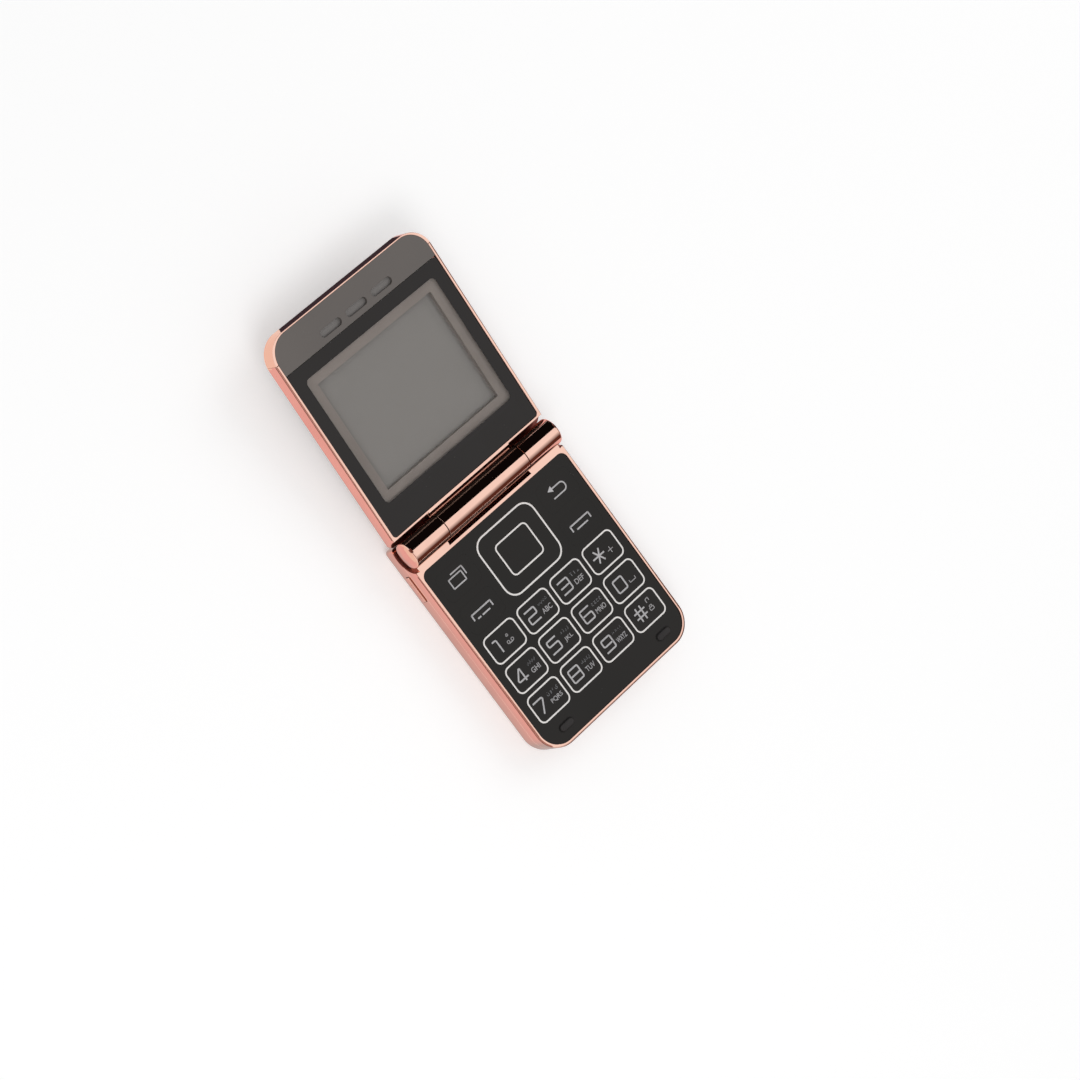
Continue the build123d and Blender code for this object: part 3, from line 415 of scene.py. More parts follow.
rose_plating = plated("rose_gold_plating", (0.93, 0.60, 0.49, 1), (0.88, 0.55, 0.45, 1),
                      0.035, 0.07)
# Dark, rougher plating for faces in grooves, hollows and notches: painted shade there.
painted_shade_plating = plated("painted_shade_plating", (0.34, 0.14, 0.11, 1), (0.25, 0.10, 0.08, 1),
                        0.42, 0.55)
panel_gloss = glossy("keypad_gloss_film", (0.009, 0.0075, 0.006, 1),
                     (0.011, 0.009, 0.0075, 1), ior=1.33)
lens_ink = glossy("lens_border_ink", (0.014, 0.011, 0.010, 1), (0.016, 0.013, 0.012, 1),
                  ior=1.36)
taupe_gloss = glossy("taupe_gloss", (0.138, 0.122, 0.113, 1), (0.148, 0.131, 0.121, 1),
                     ior=1.36)
cover_gloss = glossy("cover_gloss", (0.055, 0.050, 0.047, 1), (0.065, 0.058, 0.055, 1),
                     coat=0.3)
rubber = grained("dark_rubber", (0.022, 0.020, 0.020, 1), (0.010, 0.009, 0.009, 1), 1800.0,
                 0.6, 0.8)
pad_rubber = grained("pad_rubber", (0.029, 0.027, 0.027, 1), (0.020, 0.019, 0.019, 1), 1800.0,
                     0.55, 0.7)
# Near-black rubber for the rings round the pads, which paint the shadow in the gap there.
painted_pad_shadow = grained("painted_pad_shadow", (0.007, 0.006, 0.006, 1), (0.004, 0.004, 0.004, 1), 1800.0,
                     0.6, 0.75)
black_plastic = grained("black_moulding", (0.035, 0.035, 0.036, 1), (0.018, 0.018, 0.018, 1))
display_border = grained("display_border", (0.256, 0.219, 0.194, 1), (0.231, 0.196, 0.175, 1),
                         4000.0, 0.4, 0.55, 0.000004)
acetal = grained("natural_acetal", (0.72, 0.71, 0.66, 1), (0.64, 0.63, 0.59, 1), 1200.0,
                 0.3, 0.45)
foil = grained("cell_foil", (0.62, 0.62, 0.64, 1), (0.42, 0.42, 0.44, 1), 300.0, 0.25, 0.5,
               0.00008, 0.9)
steel = metal("stamped_steel", (0.62, 0.61, 0.60, 1), (0.42, 0.42, 0.42, 1))
screw_steel = metal("screw_steel", (0.50, 0.50, 0.51, 1), (0.30, 0.30, 0.31, 1), 2500.0)
solder_mask = board_material()
amber_film = film_material()
acrylic = clear_lens()
mesh_steel = woven_wire()
unlit_display = display_material()
outline_ink = printed_ink("white_outline_ink", (0.98, 0.95, 0.92, 1), (0.90, 0.87, 0.85, 1))
digit_ink = printed_ink("silver_digit_ink", (0.61, 0.60, 0.61, 1), (0.48, 0.47, 0.48, 1))
letter_ink = printed_ink("grey_letter_ink", (0.45, 0.44, 0.45, 1), (0.35, 0.34, 0.35, 1))
faint_ink = printed_ink("faint_letter_ink", (0.19, 0.19, 0.20, 1), (0.14, 0.14, 0.15, 1))

finishes = {
    "base_frame": rose_plating, "rear_housing": rose_plating, "battery_cover": cover_gloss,
    "battery": foil, "main_board": solder_mask, "dome_sheet": amber_film,
    "keypad_mat": rubber, "shield_can": steel, "sim_holder": black_plastic,
    "battery_contacts": black_plastic, "usb_socket": steel, "vibration_motor": steel,
    "loudspeaker": black_plastic, "microphone": black_plastic, "antenna": black_plastic,
    "housing_screws": screw_steel, "side_switches": black_plastic,
    "keypad_panel": panel_gloss, "base_bumpers": pad_rubber, "hinge_end_caps": rose_plating,
    "hinge_cartridge": steel, "hinge_spring": steel, "hinge_bush": acetal,
    "hinge_flex": amber_film, "lid_frame": rose_plating, "lid_top_trim": rose_plating,
    "lid_back_shell": rose_plating, "lid_back_plate": cover_gloss, "lens": acrylic,
    "earpiece_cover": taupe_gloss, "earpiece_mesh": mesh_steel,
    "earpiece_receiver": steel, "display_frame": display_border,
    "display_module": unlit_display, "lid_board": solder_mask, "lid_flex": amber_film,
    "closing_magnet": steel, "lid_screws": screw_steel, "hinge_cam": steel,
    "nav_carrier": black_plastic, "side_key": rose_plating,
}
# The keys and their ring have the panel's finish.
for name, node in nodes.items():
    node.data.materials.clear()
    node.data.materials.append(finishes.get(name, panel_gloss))


# ---------------------------------------------------------------- finished housings

def crowned(work, low, high, up, middle, height, drawn_in=0.35):
    """Draws a rim's outer edge in over its flat, so that the rim is a narrow crown.

    height(point) gives a point's level, or None where it isn't on the rim; low and high are
    the levels at the foot and the top of the crown. up is the rim's own up, and middle a
    point inside it.
    """
    for vertex in work.verts:
        rise = height(vertex.co / MM)
        outward = Vector()
        for face in vertex.link_faces:
            flat = face.normal - face.normal.dot(up) * up
            if flat.length > 0.05:
                outward += flat.normalized()
        if rise is None or not low < rise < high + 0.01 or outward.length < 0.1:
            continue
        outward.normalize()
        if outward.dot(vertex.co - middle) > 0:
            vertex.co -= outward * drawn_in * MM * (rise - low) / (high - low)


def domed(work, height, radius, rings=4):
    """Turns the flat outer faces of the hinge caps into shallow domes."""
    ends = [face for face in work.faces
            if abs(face.normal.x) > 0.999 and abs(face.calc_center_median().x) > cap_inside * MM]
    step = radius / (rings + 1.5)
    for face in ends:
        for ring in range(rings):
            rise = [1 - ((radius - step * i) / radius) ** 2 for i in (ring, ring + 1)]
            bmesh.ops.inset_individual(work, faces=[face], thickness=step * MM,
                                       depth=height * MM * (rise[1] - rise[0]))


def finished(node, rounded=None, edge=0.09, soft=0.2, sharp=25, shaped=None, recess=None):
    """The CAD piece as one clean shell with its edges broken.

    rounded(a, b) says which sharp edges, from point a to b in millimetres, get the larger
    soft radius instead of the small edge radius; edges that turn by less than sharp degrees
    stay as they are. shaped(work) moves the shell's points first, and recess(point) says
    which faces lie in a recess and get the second, darker plating, which is painted shade there.
    """
    work = bmesh.new()
    work.from_mesh(nodes[node].data)
    bmesh.ops.remove_doubles(work, verts=work.verts, dist=0.000002)
    bmesh.ops.dissolve_degenerate(work, edges=work.edges, dist=0.000001)
    bmesh.ops.dissolve_limit(work, angle_limit=math.radians(0.4), verts=work.verts,
                             edges=work.edges, delimit=set())
    if shaped:
        work.normal_update()
        shaped(work)
    work.normal_update()
    for face in work.faces:
        if recess and all(recess(vertex.co / MM) for vertex in face.verts):
            face.material_index = 1
    weights = work.edges.layers.float.new("bevel_weight_edge")
    for line in work.edges:
        if len(line.link_faces) != 2 or line.calc_face_angle(0) < math.radians(sharp):
            continue
        a, b = (vertex.co / MM for vertex in line.verts)
        line[weights] = 1.0 if rounded and rounded(a, b) else edge / soft
    mesh = bpy.data.meshes.new(node + "_finished")
    work.to_mesh(mesh)
    work.free()
    mesh.shade_smooth()
    mesh.materials.append(finishes[node])
    # Second slot: the darkened plating, painted shade in the recesses.
    if recess:
        mesh.materials.append(painted_shade_plating)
    maker = bpy.data.objects.new(node + "_maker", mesh)
    scene.collection.objects.link(maker)
    bevel = maker.modifiers.new("edges", "BEVEL")
    bevel.limit_method = "WEIGHT"
    bevel.width = soft * MM
    bevel.segments = 3
    bevel.use_clamp_overlap = True
    bevel.miter_outer = "MITER_ARC"
    weighted = maker.modifiers.new("normals", "WEIGHTED_NORMAL")
    weighted.mode = "FACE_AREA"
    weighted.weight = 90
    piece = settled(maker, node + "_finished")
    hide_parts(node)
    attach(piece, nodes[node]["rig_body"])


def settled(maker, name):
    """The evaluated result of an object with modifiers, as one plain mesh object."""
    bpy.context.view_layer.update()
    graph = bpy.context.evaluated_depsgraph_get()
    mesh = bpy.data.meshes.new_from_object(maker.evaluated_get(graph))
    bpy.data.objects.remove(maker)
    piece = bpy.data.objects.new(name, mesh)
    mesh.name = name
    scene.collection.objects.link(piece)
    return piece


def in_saddle(point):
    """On the hollow round the hinge barrel, or on the walls just beside it."""
    return saddle_radii[0] < math.hypot(point.y - hinge_y, point.z - hinge_z) < saddle_radii[1]


def base_rim(a, b):
    """The inner edge along the top of the base's rim, and the outer ends of the saddle."""
    return (min(a.z, b.z) > base_rim_top - 0.01 and max(a.y, b.y) < base_rim_end
            or min(abs(a.x), abs(b.x)) > saddle_end and in_saddle(a) and in_saddle(b))


def lid_rim(a, b):
    """The inner edge along the top of the lid's rim."""
    a, b = lid_point(a), lid_point(b)
    return min(a.z, b.z) > lid_rim_top - 0.01 and min(a.y, b.y) > lid_rim_start - 0.5


def crown_base(work):
    """The base's rim, without its ends at the hinge."""
    crowned(work, base_rim_top - 0.15, base_rim_top, Vector((0, 0, 1)),
            Vector((0, 2, 10)) * MM, lambda point: point.z if point.y < base_rim_end else None)


def crown_lid(work):
    """The lid's rim, without its ends at the hinge."""
    def height(point):
        point = lid_point(point)
        return point.z if point.y > lid_rim_start else None
    crowned(work, lid_rim_top - 0.12, lid_rim_top, lid_matrix.to_3x3() @ Vector((0, 0, 1)),
            on_lid(0, 36), height)


def base_recess(point):
    """In the groove round the keypad, in the saddle, or inside the base's lips: faces whose
    plating is darkened as painted shade.
    """
    reach = hinge_y - point.y
    return (base_groove[0] < point.z < base_groove[1] and reach > 4.5 or in_saddle(point)
            or lip_radius < math.hypot(reach, point.z - hinge_z) and 0 < reach < 5.6)


def lid_recess(point):
    """In the groove round the lens, in the saddle, or inside the lid's lips: faces whose plating
    is darkened as painted shade.
    """
    own = lid_point(point)
    return (lid_groove[0] < own.z < lid_groove[1] or in_saddle(point)
            or lip_radius < math.hypot(own.y, own.z) and 0 < own.y < 5.7)


def pry_notch(point):
    """On the floor or walls of the notch at the top of each hinge cap, whose plating is darkened
    as painted shade.
    """
    return (notch_span[0] < point.y - hinge_y < notch_span[1]
            and point.z - hinge_z > notch_floor)


def dome_caps(work):
    """Shallow domes on both end caps."""
    domed(work, height=0.3, radius=3.8)


# The darker plating in the grooves, the saddles, the lips and the notches is painted shade.
finished("base_frame", base_rim, shaped=crown_base, recess=base_recess)
finished("lid_frame", lid_rim, shaped=crown_lid, recess=lid_recess)
finished("lid_top_trim", edge=0.06)
finished("rear_housing", recess=in_saddle)
finished("lid_back_shell", recess=in_saddle)
finished("hinge_end_caps", sharp=50, shaped=dome_caps, recess=pry_notch)
finished("earpiece_cover")
finished("side_key")
finished("battery_cover")


# ---------------------------------------------------------------- keypad print

ink_sink = 0.01                 # how far ink reaches down into the key under it


def line_tree():
    """A flat line of ink along a path with rounded corners, and its inputs' identifiers."""
    tree = bpy.data.node_groups.new("printed_line", "GeometryNodeTree")
    sockets = tree.interface
    sockets.new_socket("Geometry", in_out="INPUT", socket_type="NodeSocketGeometry")
    sizes = {}
    for label, value in (("Line Width", 0.0005), ("Line Height", 0.00003),
                         ("Corner Radius", 0.0003)):
        socket = sockets.new_socket(label, in_out="INPUT", socket_type="NodeSocketFloat")
        socket.default_value = value
        sizes[label] = socket.identifier
    ink = sockets.new_socket("Ink", in_out="INPUT", socket_type="NodeSocketMaterial")
    sizes["Ink"] = ink.identifier
    sockets.new_socket("Geometry", in_out="OUTPUT", socket_type="NodeSocketGeometry")
    ins = tree.nodes.new("NodeGroupInput")
    outs = tree.nodes.new("NodeGroupOutput")
    fillet = add(tree, "GeometryNodeFilletCurve",
                 {"Curve": ins.outputs["Geometry"], "Radius": ins.outputs["Corner Radius"],
                  "Count": 6, "Limit Radius": True}, mode="POLY")
    upright = add(tree, "GeometryNodeSetCurveNormal", {"Curve": fillet.outputs[0]},
                  mode="Z_UP")
    profile = add(tree, "GeometryNodeCurvePrimitiveQuadrilateral",
                  {"Width": ins.outputs["Line Width"], "Height": ins.outputs["Line Height"]},
                  mode="RECTANGLE")
    swept = add(tree, "GeometryNodeCurveToMesh",
                {"Curve": upright.outputs[0], "Profile Curve": profile.outputs[0],
                 "Fill Caps": True})
    solid = add(tree, "GeometryNodeRealizeInstances", {"Geometry": swept.outputs[0]})
    inked = add(tree, "GeometryNodeSetMaterial",
                {"Geometry": solid.outputs[0], "Material": ins.outputs["Ink"]})
    tree.links.new(inked.outputs[0], outs.inputs["Geometry"])
    return tree, sizes


line_group, line_inputs = line_tree()


def printed(name, paths, width, ink, corner, height=0.03, step=0.002):
    """Ink lines on the keypad face.

    paths holds (points in millimetres as (across, reach), closed). Each path lies a step above
    the one before, so that where they cross no two faces share a place.
    """
    curve = bpy.data.curves.new(name + "_path", "CURVE")
    curve.dimensions = "3D"
    for number, (points, closed) in enumerate(paths):
        spline = curve.splines.new("POLY")
        spline.points.add(len(points) - 1)
        middle = height / 2 - ink_sink + number * step
        for point, (x, reach) in zip(spline.points, points):
            point.co = (*on_face(x, reach, middle), 1.0)
        spline.use_cyclic_u = closed
    maker = bpy.data.objects.new(name + "_maker", curve)
    scene.collection.objects.link(maker)
    modifier = maker.modifiers.new("ink", "NODES")
    modifier.node_group = line_group
    modifier[line_inputs["Line Width"]] = width * MM
    modifier[line_inputs["Line Height"]] = height * MM
    modifier[line_inputs["Corner Radius"]] = corner * MM
    modifier[line_inputs["Ink"]] = ink
    return settled(maker, name)


def lettering(name, text, x_low, x_high, reach_low, reach_high, ink, height=0.02):
    """Letters fitted to a rectangle on the keypad face.

    They are extruded to both sides only so that their front and back points can be told
    apart; each side is then set to its own level.
    """
    curve = bpy.data.curves.new(name + "_text", "FONT")
    curve.body = text
    curve.size = 0.002
    curve.extrude = 0.5
    curve.offset = 0.00002
    maker = bpy.data.objects.new(name + "_maker", curve)
    scene.collection.objects.link(maker)
    piece = settled(maker, name)
    points = [vertex.co.copy() for vertex in piece.data.vertices]
    low = [min(point[i] for point in points) for i in range(2)]
    high = [max(point[i] for point in points) for i in range(2)]
    for vertex in piece.data.vertices:
        across = (vertex.co.x - low[0]) / (high[0] - low[0])
        up = (vertex.co.y - low[1]) / (high[1] - low[1])
        level = height if vertex.co.z > 0 else -ink_sink
        vertex.co = on_face(x_low + across * (x_high - x_low),
                            reach_high - up * (reach_high - reach_low), level)
    piece.data.materials.clear()
    piece.data.materials.append(ink)
    return piece


def closed_piece(work, name, material):
    """The edited mesh as an object of one material, with its faces turned outwards."""
    bmesh.ops.recalc_face_normals(work, faces=work.faces)
    mesh = bpy.data.meshes.new(name)
    work.to_mesh(mesh)
    work.free()
    mesh.materials.append(material)
    piece = bpy.data.objects.new(name, mesh)
    scene.collection.objects.link(piece)
    return piece


def printed_patch(name, corners, ink, height=0.024):
    """One small filled shape of ink on the keypad face, from its corners (across, reach)."""
    count = len(corners)
    points = [on_face(x, reach, level) for level in (-ink_sink, height) for x, reach in corners]
    sides = [(i, (i + 1) % count, (i + 1) % count + count, i + count) for i in range(count)]
    work = bmesh.new()
    made = [work.verts.new(point) for point in points]
    for face in sides + [tuple(range(count)), tuple(range(count, 2 * count))]:
        work.faces.new([made[i] for i in face])
    return closed_piece(work, name, ink)


def rectangle(x, reach, width, length):
    """Corner points of a rectangle round a centre."""
    return [(x - width / 2, reach - length / 2), (x + width / 2, reach - length / 2),
            (x + width / 2, reach + length / 2), (x - width / 2, reach + length / 2)]


def circle(x, reach, radius, steps=10):
    """Points of a circle."""
    return [(x + radius * math.cos(2 * math.pi * i / steps),
             reach + radius * math.sin(2 * math.pi * i / steps)) for i in range(steps)]


def on_key(x, reach, path):
    """A path drawn from a key's centre, up away from the user, as (across, reach)."""
    return [(x + right, reach - up) for right, up in path]


# Strokes of each number key, from the key's centre: across to the right, up away from the user.
strokes = {
    "key_1": [[(-3.8, 2.05), (-2.28, 2.05), (-2.28, -2.15)]],
    "key_2": [[(-4.3, 2.05), (-0.4, 2.05), (-0.4, 0.05), (-4.1, 0.05), (-4.1, -1.95),
               (-0.2, -1.95)]],
    "key_3": [[(-4.3, 1.95), (-0.4, 1.95), (-0.4, -1.95), (-4.3, -1.95)],
              [(-4.1, -0.05), (-0.4, -0.05)]],
    "key_4": [[(-1.9, 2.1), (-4.6, -1.3), (-0.4, -1.3)], [(-1.7, 2.1), (-1.7, -2.1)]],
    "key_5": [[(-0.4, 2.0), (-4.1, 2.0), (-4.1, 0.3), (-0.4, 0.3), (-0.4, -2.0),
               (-4.4, -2.0)]],
    "key_6": [[(-0.1, 2.0), (-3.9, 2.0), (-3.9, -2.0), (-0.2, -2.0), (-0.2, 0.1),
               (-3.8, 0.1)]],
    "key_7": [[(-5.0, 2.05), (-1.0, 2.05), (-3.6, -2.25)]],
    "key_8": [[(-4.2, 0.05), (-4.2, 2.05), (-0.3, 2.05), (-0.3, -1.95), (-4.2, -1.95),
               (-4.2, 0.05)], [(-4.0, 0.07), (-0.5, 0.07)]],
    "key_9": [[(-0.4, -0.15), (-3.9, -0.15), (-3.9, 1.95), (-0.3, 1.95), (-0.3, -1.95),
               (-4.2, -1.95)]],
    "key_0": [[(-1.7, 2.0), (0.1, 2.0), (0.1, -2.0), (-3.5, -2.0), (-3.5, 2.0), (-1.7, 2.0)]],
    "key_star": [[(-4.2, -0.05), (0.5, -0.05)], [(-2.8, 1.95), (-0.5, -2.05)],
                 [(-0.5, 1.95), (-2.8, -2.05)]],
    "key_hash": [[(-2.6, 2.3), (-2.6, -2.3)], [(-0.9, 2.3), (-0.9, -2.3)],
                 [(-4.0, 0.87), (0.4, 0.87)], [(-4.0, -0.83), (0.4, -0.83)]],
}
# Small signs beside the numbers of the four keys without letters.
signs = {
    "key_1": [(circle(0.72, -0.9, 0.45), True), (circle(2.28, -0.9, 0.45), True),
              ([(0.72, -1.42), (2.28, -1.42)], False),
              ([(1.1, 0.75), (1.3, 1.35), (1.7, 1.35), (1.9, 0.75)], True)],
    "key_star": [([(1.6, -0.85), (3.6, -0.85)], False), ([(2.6, 0.15), (2.6, -1.85)], False)],
    "key_0": [([(1.5, -0.79), (1.5, -1.59), (3.8, -1.59), (3.8, -0.79)], False)],
    "key_hash": [([(1.9, 1.2), (1.9, 2.3), (3.0, 2.5), (3.0, 1.5)], False),
                 (rectangle(2.3, -0.95, 1.5, 0.9), True),
                 ([(1.85, -0.5), (1.85, 0.1), (2.75, 0.1), (2.75, -0.5)], False)],
}
# Letters of each number key, where they start and end across it, and its second letters.
letters = {
    "key_2": ("ABC", 1.0, 4.7, "ب پ ت ث"), "key_3": ("DEF", 1.0, 4.5, "آ ا ء"),
    "key_4": ("GHI", 1.1, 4.4, "س ش ص ض"), "key_5": ("JKL", 1.4, 4.6, "د ذ ر ز"),
    "key_6": ("MNO", 0.9, 4.8, "ج چ ح خ"), "key_7": ("PQRS", 0.4, 4.8, "ن و ه ی"),
    "key_8": ("TUV", 1.2, 4.7, "ف ق ک ل"), "key_9": ("WXYZ", 0.7, 4.6, "ط ظ ع غ"),
}
number_keys = [("key_1", "key_2", "key_3", "key_star"), ("key_4", "key_5", "key_6", "key_0"),
               ("key_7", "key_8", "key_9", "key_hash")]

key_width, key_length, key_corner = 12.14, 8.77, 1.75
outline_width = 0.5
number_width, number_corner = 0.52, 0.45
sign_width, sign_corner = 0.26, 0.1
letters_low, letters_high = 0.35, 1.95          # from the key's centre towards the user
second_low, second_high = -2.0, -0.75

for reach, row in zip(key_rows, number_keys):
    for x, key in zip(key_columns, row):
        outline = [(rectangle(x, reach, key_width, key_length), True)]
        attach(printed(key + "_outline", outline, outline_width, outline_ink, key_corner), key)
        number = [(on_key(x, reach, path), False) for path in strokes[key]]
        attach(printed(key + "_number", number, number_width, digit_ink, number_corner), key)
        if key in letters:
            text, low, high, second = letters[key]
            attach(lettering(key + "_letters", text, x + low, x + high, reach + letters_low,
                              reach + letters_high, letter_ink), key)
            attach(lettering(key + "_second_letters", second, x + low, x + high,
                              reach + second_low, reach + second_high, faint_ink), key)
        else:
            sign = [(on_key(x, reach, path), closed) for path, closed in signs[key]]
            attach(printed(key + "_sign", sign, sign_width, letter_ink, sign_corner), key)

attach(printed("nav_ring_outline", [(rectangle(0, nav_row, 22.8, 19.85), True)], 0.55,
                outline_ink, corner=3.9), "nav_ring")
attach(printed("ok_key_outline", [(rectangle(0, nav_row, 12.7, 10.45), True)],
                outline_width, outline_ink, corner=1.45), "ok_key")

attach(printed("menu_key_icon",
                [(rectangle(-21.5, 14.7, 5.0, 3.0), True),
                 ([(-22.5, 12.2), (-18.0, 12.2), (-18.0, 15.0)], False)],
                0.42, digit_ink, corner=0.15), "menu_key")
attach(printed("call_key_icon",
                [([(-24.8, 27.0), (-24.8, 25.2), (-17.2, 25.2), (-17.2, 27.0)], False),
                 ([(-23.6, 27.1), (-22.3, 27.1)], False),
                 ([(-21.7, 27.1), (-18.6, 27.1)], False)],
                0.5, digit_ink, corner=0.15), "call_key")
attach(printed("end_key_icon",
                [([(17.2, 27.0), (17.2, 25.2), (24.8, 25.2), (24.8, 27.0)], False),
                 ([(18.7, 27.1), (23.3, 27.1)], False)],
                0.5, digit_ink, corner=0.15), "end_key")
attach(printed("back_key_icon",
                [([(19.0, 13.1), (24.2, 13.1), (24.2, 15.9), (18.5, 15.9)], False)],
                0.45, digit_ink, corner=1.3), "back_key")
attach(printed_patch("back_key_arrowhead", [(19.75, 12.1), (17.95, 13.1), (19.75, 14.1)],
                      digit_ink), "back_key")


# ---------------------------------------------------------------- frames of print and rubber

def rounded_ring(half, start, end, corner, steps=8):
    """Points round a rounded rectangle, anticlockwise from its right side."""
    ring = []
    for turn, (x, y) in enumerate(((half - corner, end - corner), (corner - half, end - corner),
                                   (corner - half, start + corner),
                                   (half - corner, start + corner))):
        for i in range(steps + 1):
            angle = math.pi / 2 * (turn + i / steps)
            ring.append((x + corner * math.cos(angle), y + corner * math.sin(angle)))
    return ring


def ring_at(x, reach, half_width, half_length, corner):
    """Points round a rounded rectangle about a centre on the keypad face."""
    return [(x + right, reach + down)
            for right, down in rounded_ring(half_width, -half_length, half_length, corner)]


def framed(name, outer, inner, place, low, high, material):
    """A thin flat frame between two rings of as many points, closed all round."""
    work = bmesh.new()
    rows = [[work.verts.new(place(x, y, z)) for x, y in ring]
            for ring, z in ((inner, high), (outer, high), (outer, low), (inner, low))]
    count = len(inner)
    for a in range(4):
        b = (a + 1) % 4
        for i in range(count):
            j = (i + 1) % count
            work.faces.new((rows[a][i], rows[b][i], rows[b][j], rows[a][j]))
    return closed_piece(work, name, material)


# The dark border on the lens, from the edge of the lens to the edge of its window.
lens_edge = rounded_ring(29.93, 6.09, 61.46, 1.17)
window_edge = rounded_ring(25.865, 15.02, 57.18, 1.5)
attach(framed("lens_print", lens_edge, window_edge, on_lid, lens_face - 0.02,
               lens_face + 0.01, lens_ink), "lid")

# Thin black ring round the foot of each rubber pad: painted shadow in the gap round the pad.
pad_row, pad_x = 67.4, 21.2
for side, name in ((-1, "pad_shadow_left"), (1, "pad_shadow_right")):
    inner = ring_at(side * pad_x, pad_row, 2.57, 1.02, 1.01)
    outer = ring_at(side * pad_x, pad_row, 2.85, 1.3, 1.29)
    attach(framed(name, outer, inner, on_face, -0.02, 0.03, painted_pad_shadow), "base")

# Skirts that close the seams round the soft keys, just under the face.
soft_keys = {"menu_key": (-21.015, 14.6), "back_key": (21.015, 14.6),
             "call_key": (-21.015, 26.2), "end_key": (21.015, 26.2)}
for key, (x, reach) in soft_keys.items():
    inner = ring_at(x, reach, 6.58, 4.48, 1.98)
    outer = ring_at(x, reach, 6.71, 4.61, 2.11)
    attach(framed(key + "_skirt", outer, inner, on_face, -0.6, -0.015, panel_gloss), key)


# ---------------------------------------------------------------- surroundings, in metres

def flat_mesh(name, low, high, level=0.0):
    """A mesh of one face that looks up, between two corners."""
    mesh = bpy.data.meshes.new(name)
    mesh.from_pydata([(low[0], low[1], level), (high[0], low[1], level),
                      (high[0], high[1], level), (low[0], high[1], level)],
                     [], [(0, 1, 2, 3)])
    return mesh


# The floor and the world show as white to the camera and in mirrors and glass, and light the
# phone less than that. The floor's own glow fades towards the phone, which keeps its shadow.
floor_half, floor_level = 3.0, -0.0002
glow_distances, glow_levels = (0.4, 1.3), (0.3, 0.54)
floor_mesh = flat_mesh("floor", (-floor_half, -floor_half), (floor_half, floor_half),
                       floor_level)
floor = bpy.data.objects.new("floor", floor_mesh)
scene.collection.objects.link(floor)
floor_paint, tree, shader = new_material("pale_floor")
away = add(tree, "ShaderNodeVectorMath", {0: here(tree)}, operation="LENGTH").outputs["Value"]
glow = combined(tree, "MULTIPLY", any_ray(tree, "Camera", "Glossy", "Transmission"),
                remap(tree, away, *glow_distances, *glow_levels))
feed(tree, shader, Base_Color=(0.86, 0.86, 0.86, 1), Roughness=0.9, Specular_IOR_Level=0.0,
     Emission_Color=(1, 1, 1, 1), Emission_Strength=glow)
floor_mesh.materials.append(floor_paint)

world = bpy.data.worlds.new("studio")
scene.world = world
world.use_nodes = True
tree = world.node_tree
tree.nodes.clear()
soft = add(tree, "ShaderNodeBackground", {"Color": (1, 1, 1, 1), "Strength": 0.55})
white = add(tree, "ShaderNodeBackground", {"Color": (1, 1, 1, 1), "Strength": 1.0})
both = add(tree, "ShaderNodeMixShader",
           {0: any_ray(tree, "Camera", "Glossy", "Transmission"), 1: soft.outputs[0],
            2: white.outputs[0]})
add(tree, "ShaderNodeOutputWorld", {"Surface": both.outputs[0]})


def lamp(name, place, size, energy):
    """A square soft lamp aimed at the phone."""
    light = bpy.data.lights.new(name, "AREA")
    light.shape = "SQUARE"
    light.size = size
    light.energy = energy
    holder = bpy.data.objects.new(name, light)
    holder.location = place
    aim = Vector((0, 0.03, 0)) - Vector(place)
    holder.rotation_euler = aim.to_track_quat("-Z", "Y").to_euler()
    holder.visible_glossy = False
    scene.collection.objects.link(holder)


def card(name, place, corners, color, second=None, across=(0.0, 1.0), axis="X"):
    """A flat card that glows with its colour and that only mirror reflections show: a painted
    reflection.

    place is its matrix, and corners its low and high x and y. With a second colour it turns
    from the first into the second over a span of its own y, or of its x to both sides.
    """
    paint, tree, shader = new_material(name + "_paint")
    feed(tree, shader, Base_Color=(0, 0, 0, 1), Roughness=1.0, Specular_IOR_Level=0.0,
         Emission_Color=color, Emission_Strength=1.0)
    if second:
        spot = add(tree, "ShaderNodeSeparateXYZ", {0: here(tree)}).outputs[axis]
        if axis == "X":
            spot = add(tree, "ShaderNodeMath", {0: spot}, operation="ABSOLUTE").outputs[0]
        feed(tree, shader,
             Emission_Color=blended(tree, remap(tree, spot, *across), color, second))
    mesh = flat_mesh(name, *corners)
    mesh.materials.append(paint)
    holder = bpy.data.objects.new(name, mesh)
    holder.matrix_world = place
    scene.collection.objects.link(holder)
    for kind in ("camera", "diffuse", "transmission", "volume_scatter", "shadow"):
        setattr(holder, "visible_" + kind, False)


def standing_card(name, direction, distance, width, height, *colors, **turn):
    """A card facing the phone: direction is (degrees from +Y towards +X, degrees up)."""
    azimuth, elevation = (math.radians(angle) for angle in direction)
    way = Vector((math.sin(azimuth) * math.cos(elevation),
                  math.cos(azimuth) * math.cos(elevation), math.sin(elevation)))
    place = (Matrix.Translation(Vector((0, 0.03, 0.01)) + way * distance)
             @ way.to_track_quat("Z", "Y").to_matrix().to_4x4())
    card(name, place, ((-width / 2, -height / 2), (width / 2, height / 2)), *colors, **turn)


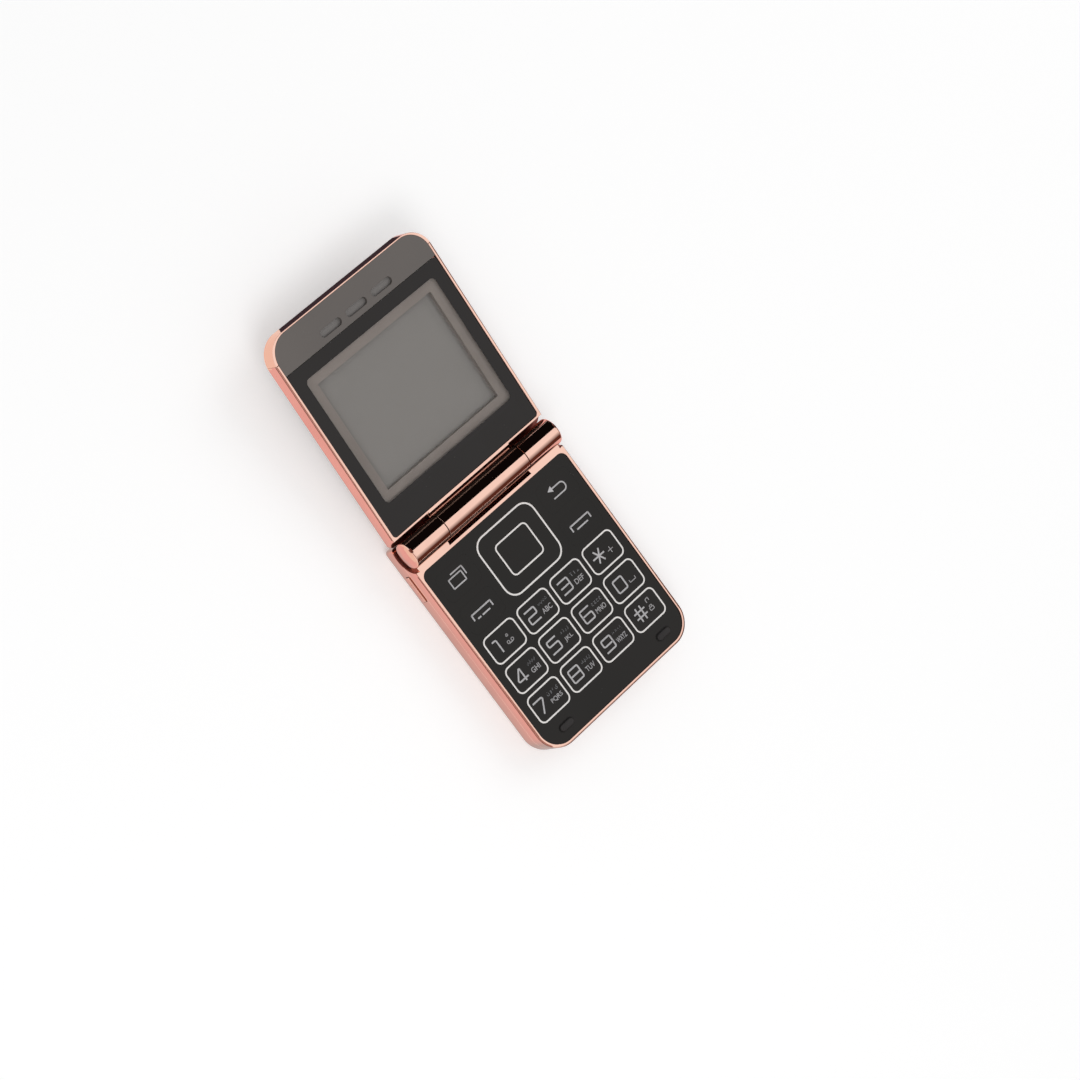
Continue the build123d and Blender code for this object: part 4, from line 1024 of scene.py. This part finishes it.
def sheet(name, level, corners, *colors, **turn):
    """A card lying on the floor; where two overlap, the higher one is seen."""
    card(name, Matrix.Translation((0, 0, level)), corners, *colors, **turn)


lamp("key_lamp", (-0.5, -0.3, 0.9), 0.5, 2.6)
lamp("fill_lamp", (0.7, 0.2, 0.7), 0.6, 1.3)

# Glowing cards about the phone, painted reflections which the barrel and the rims show: black
# far off, dark red-brown turning white near the user, brown to the right and pink-brown to the
# left.
standing_card("far_card", (35, 26), 0.6, 1.3, 0.92, (0.004, 0.003, 0.003, 1))
standing_card("near_card", (150, 25), 0.6, 1.3, 0.84, (0.10, 0.035, 0.023, 1), (1, 1, 1, 1),
              across=(0.0, 0.33), axis="Y")
standing_card("right_card", (100, 20), 0.65, 0.8, 0.65, (0.16, 0.09, 0.06, 1))
standing_card("left_card", (-115, 55), 0.6, 0.9, 0.55, (0.43, 0.26, 0.235, 1))

# Glowing sheets on the floor, painted reflections which the sides of the phone show: greyer
# and darker under it and just past its sides, a painted contact shadow, turning warm further
# out; cream to its left and past the lid's left corner, and dark past the lid's end.
cream = (0.92, 0.76, 0.68, 1)
sheet("warm_sheet", -0.00017, ((-0.3, -0.25), (0.3, 0.32)), (0.52, 0.49, 0.50, 1),
      (0.85, 0.545, 0.54, 1), across=(0.0309, 0.0355))
sheet("cream_sheet_left", -0.00015, ((-0.3, -0.25), (-0.0395, 0.102)), cream)
sheet("cream_sheet_far", -0.00015, ((-0.3, 0.102), (-0.0145, 0.32)), cream)
sheet("dark_sheet", -0.00014, ((-0.0145, 0.114), (0.15, 0.28)), (0.041, 0.030, 0.039, 1))

camera_data = bpy.data.cameras.new("camera")
camera_data.lens = 106.304
camera_data.sensor_width = 36.0
camera = bpy.data.objects.new("camera", camera_data)
camera_place = (-0.39715, 0.19272, 0.81119)
right = Vector((0.6681, -0.5807, 0.4652)).normalized()
forward = Vector((0.4419, -0.1933, -0.8760))
forward = (forward - forward.dot(right) * right).normalized()
turn = Matrix((right, right.cross(forward), -forward)).transposed().to_4x4()
camera.matrix_world = Matrix.Translation(camera_place) @ turn
scene.collection.objects.link(camera)
scene.camera = camera
scene.view_settings.view_transform = "Standard"
